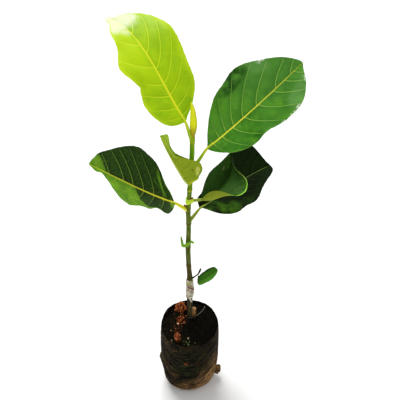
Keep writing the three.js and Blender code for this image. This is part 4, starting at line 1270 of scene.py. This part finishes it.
def make_soil():
    """The fill: a crumbly surface inside the film, on a plain plug down to the floor.

    With it come the weights of what is strewn on it, one number for each of its points.
    """
    angle = round_angles(SOIL_SIDES)
    middle = bag_middle(1)
    rings = []
    for share, level in ((0.03, 3.0), (0.3, None), (0.6, None), (0.9, None)):
        x, y = bag_wall(angle, share, FILM + 1.8)
        rings.append(stack(x, y, share * rim_height(angle) if level is None else level))
    share = 1 - SOIL_DROP / rim_height(angle)
    edge = np.array([bag_wall(a, s, FILM + 0.4) for a, s in zip(angle, share)])
    for k in range(SOIL_RINGS):
        reach = 1 - k / SOIL_RINGS
        x = middle[0] + (edge[:, 0] - middle[0]) * reach
        y = middle[1] + (edge[:, 1] - middle[1]) * reach
        z = soil_height(x, y, reach)
        for i in range(SOIL_SIDES):
            spot = Vector((x[i] / 5, y[i] / 5, 3.0))
            rise = 0.9 * noise.fractal(spot, 0.6, 2.0, 5) + 1.3 * noise.noise(spot * 0.45)
            flat = min(1, max(0, math.hypot(x[i] - 5, y[i] - 21) - 7) / 6)
            z[i] = (z[i] * flat + (1 - flat) * (STEM_FOOT - 0.2)
                    + rise * flat * (1 - reach**6) - 0.3 * reach**6)
        rings.append(stack(x, y, z))
    piece = loft("soil_fill", rings, soil_skin)
    x, y, _ = (places_of(piece) / MM).T
    top = np.zeros(len(x))
    top[BARE_RINGS * SOIL_SIDES:] = 1
    top[-2] = 0
    spots = {"soil": top, "clay": 0 * top, "moss": 0 * top}
    for key, places in (("clay", CLAY_SPOTS), ("moss", MOSS_SPOTS)):
        for at_x, at_y, spread in places:
            away = ((x - at_x) ** 2 + (y - at_y) ** 2) / spread**2
            spots[key] = np.maximum(spots[key], np.exp(-away) * top)
    return piece, spots


def crumbs(name, ground, weight, material, **options):
    """Crumbs strewn over a copy of the ground by its weight."""
    ground = new_piece(name + "_ground", ground.data.copy())
    set_values(ground, "weight", weight)
    return with_tree(ground, scatter_tree, name, material=material, **options)


def sleeve(name, plan, rows, sides, outer, material):
    """A closed ring about the stem whose surface stands out by a rule."""
    angle = round_angles(sides)
    rings, facts = [], []
    heights = np.linspace(plan["from"], plan["to"], rows + 1)
    for inside in (False, True):
        for z in heights[::-1] if inside else heights:
            x, y, r = stem_at(z)
            reach = r + (TOUCH * 0.3 if inside else outer(z, angle)) + 0 * angle
            rings.append(stack(x + reach * np.cos(angle), y + reach * np.sin(angle), z))
            facts.append(stack(angle / FULL_TURN + z / TAPE["pitch"], z, 0))
    piece = loft(name, rings, material, ends="loop")
    set_values(piece, "wrap", np.vstack(facts))
    set_values(piece, "run", np.full(len(rings) * sides, 0.5))
    return piece


def tape_out(z, angle):
    """Laps of film: each turn stands on the last and ends in a small step."""
    turn = angle / FULL_TURN + z / TAPE["pitch"]
    lap = turn - np.floor(turn)
    ends = min(1, (z - TAPE["from"]) / 1.5, (TAPE["to"] - z) / 1.5)
    wrinkle = 0.2 * np.sin(9 * angle + 1.7 * z) + 0.15 * np.sin(5 * angle - 2.9 * z)
    bulge = TAPE["bulge"] * math.exp(-(((z - TAPE["bulge_at"]) / 11) ** 2))
    bulge = bulge * np.clip(np.cos(angle), 0, 1)
    return TOUCH + max(ends, 0.1) * (TAPE["film"] + TAPE["step"] * (0.5 - lap) + wrinkle + bulge)


def collar_out(z, angle):
    share = (z - COLLAR["from"]) / (COLLAR["to"] - COLLAR["from"])
    belly = COLLAR["out"] * np.sin(math.pi * np.clip(share, COLLAR["lip"], 1 - COLLAR["lip"]))
    return TOUCH + belly + COLLAR["lobe"] * np.cos(3 * angle) + 0.25 * np.sin(8 * angle + z)


def make_stem():
    """The stem from its flat cut at the soil, with its taper, root flare and ring scars."""
    heights, _, radii = zip(*STEM_NODES)
    z = np.linspace(STEM_FOOT, heights[-1], 640)
    path = path_through([(*stem_at(height)[:2], height) for height in heights], 800)
    reach = along(radii, np.linspace(0, 1, len(path)))
    order = np.argsort(path[:, 2])
    x, y, r = (np.interp(z, path[order, 2], v[order]) for v in (path[:, 0], path[:, 1], reach))
    for height, out, half in SCARS:
        r = r + out * np.exp(-(((z - height) / half) ** 2))
    r[-1] *= 0.75
    return limb("stem_bark", stack(x, y, z), r, bark_finish(), sides=44, relief=0.9, grain=330,
                stretch=0.22)


# The bag, the soil and what lies on it
place(make_bag(), "bag_film", "grow_bag")
ear = lump("grow_bag_ear", CORNER["at"], CORNER["half"], 0, bag_film, rough=1.4, square=3.5)
ear_x, _, ear_z = places_of(ear).T
set_values(ear, "crease", stack(CORNER["crease"], ear_z, ear_x))
place(ear, "bag_film")
soil, weights = make_soil()
STREWN = [
    ("soil_crumbs", "soil", "soil", crumb_skin,
     dict(density=150000.0, seed=4, smallest=0.3, largest=1.7)),
    ("clay_crumbs", "clay", "clay", clay_skin,
     dict(density=230000.0, seed=9, smallest=0.4, largest=1.8)),
    ("moss_tufts", "moss", None, moss_skin,
     dict(density=900000.0, seed=2, smallest=0.5, largest=1.6, flat=0.45)),
]
for name, kind, slot, skin, options in STREWN:
    place(crumbs(name, soil, weights[kind], skin, **options), slot)
place(soil, "soil", "soil")
for name, clod in CLODS.items():
    body = lump(name + "_earth", clod["at"], clod["half"], clod["spin"], clod_skin, rough=2.2)
    place(crumbs(name + "_crumbs", body, np.ones(len(body.data.vertices)), clay_skin,
                 density=clod["crumbs"], seed=7, smallest=0.6, largest=2.1), "clay")
    place(body, "clay", name)
for number, (x, y, r) in enumerate(PEBBLES, 1):
    half = (r, 0.8 * r, 0.7 * r)
    at = (x, y, soil_under(x, y) + half[2] / 2)
    skin = peach_pebble if number == 1 else pebble_skin
    stone = lump(f"pebble_{number}_stone", at, half, 40 * (number - 1), skin, 3)
    place(stone, "pebble", f"pebble_{number}")
thread = {"path": [(x, y, soil_under(x, y) + TOUCH + 1.2 * ROOTLET["r"])
                   for x, y in ROOTLET["path"]], "radii": ROOTLET["radii"]}

# The stem and what grows on it
place(make_stem(), "bark", "stem")
wrap = sleeve("graft_tape_film", TAPE, 260, 72, tape_out, tape_film)
tail = tapered("tape_tail", TAIL, tape_film, relief=0.8, grain=300)
set_values(tail, "wrap", [(0.5, 190, 0)] * len(tail.data.vertices))
place(joined("graft_tape_film", [wrap, tail]), "tape", "graft_tape")
collar = sleeve("bract_collar_sheath", COLLAR, 40, 60, collar_out, bract_skin)
place(collar, "bract", "bract_collar")
LIMBS = [
    ("rootlet_thread", "surface_rootlet", "rootlet", thread, rootlet_skin,
     dict(steps=120, sides=10, relief=0.2, grain=300, stretch=1.0)),
    ("rootstock_stub_wood", "rootstock_stub", "cut_wood", STUB, cut_wood,
     dict(is_round=False, relief=1.2, grain=350)),
    ("terminal_bud_sheath", "terminal_bud", "bud", BUD, bud_skin,
     dict(steps=90, sides=36, relief=0.5, grain=260, stretch=0.2)),
    ("low_side_twig_bark", "low_side_twig", "bark", TWIG, twig_skin,
     dict(steps=120, relief=0.5)),
    ("clasping_bract_sheath", "clasping_bract", "bract", CLASPING_BRACT, clasp_skin,
     dict(steps=110, relief=0.8, grain=280)),
    ("collar_bud_scale", "collar_bud", "brown_bud", COLLAR_BUD, brown_bud, dict(relief=0.4)),
    ("axil_bud_scale", "axil_bud", "brown_bud", AXIL_BUD, brown_bud, dict(relief=0.4)),
]
for name, node, slot, plan, skin, options in LIMBS:
    place(tapered(name, plan, skin, **options), slot, node)
for name, leaf in LEAVES.items():
    parts = [blade(name + "_blade", leaf, leaf_finish(**LEAF_TONES[name])),
             stalk(name + "_stalk", leaf, stalk_finish(*STALK_TONES[name]))]
    place(joined(name + "_fine", parts), leaf["slot"], name)

# Floor, light and camera
reach = FLOOR["size"] / 2
corners = [(x * reach, y * reach, -FLOOR["below"]) for x, y in ((-1, -1), (1, -1), (1, 1), (-1, 1))]
floor_finish = Finish("pale_floor", Roughness=0.9, Base_Color=(*[FLOOR["tone"]] * 3, 1))
floor = mesh_object("floor", corners, [(0, 1, 2, 3)], floor_finish.material)

world = bpy.data.worlds.new("studio")
world.use_nodes = True
world.node_tree.nodes["Background"].inputs["Color"].default_value = (1, 1, 1, 1)
world.node_tree.nodes["Background"].inputs["Strength"].default_value = SKY
bpy.context.scene.world = world

lamp_data = bpy.data.lights.new("key", "SUN")
lamp_data.energy = SUN["power"]
lamp_data.angle = math.radians(SUN["spread"])
lamp = new_piece("key", lamp_data)
lamp.rotation_euler = (0, math.radians(90 - SUN["elevation"]), math.radians(SUN["azimuth"]))

camera_data = bpy.data.cameras.new("camera")
camera_data.sensor_width = CAMERA["sensor"]
camera_data.lens = CAMERA["lens"]
camera = new_piece("camera", camera_data)
camera.location = [c * MM for c in CAMERA["at"]]
camera.rotation_euler = (math.radians(CAMERA["tilt"]), 0, 0)
bpy.context.scene.camera = camera
bpy.context.scene.view_settings.view_transform = "Standard"
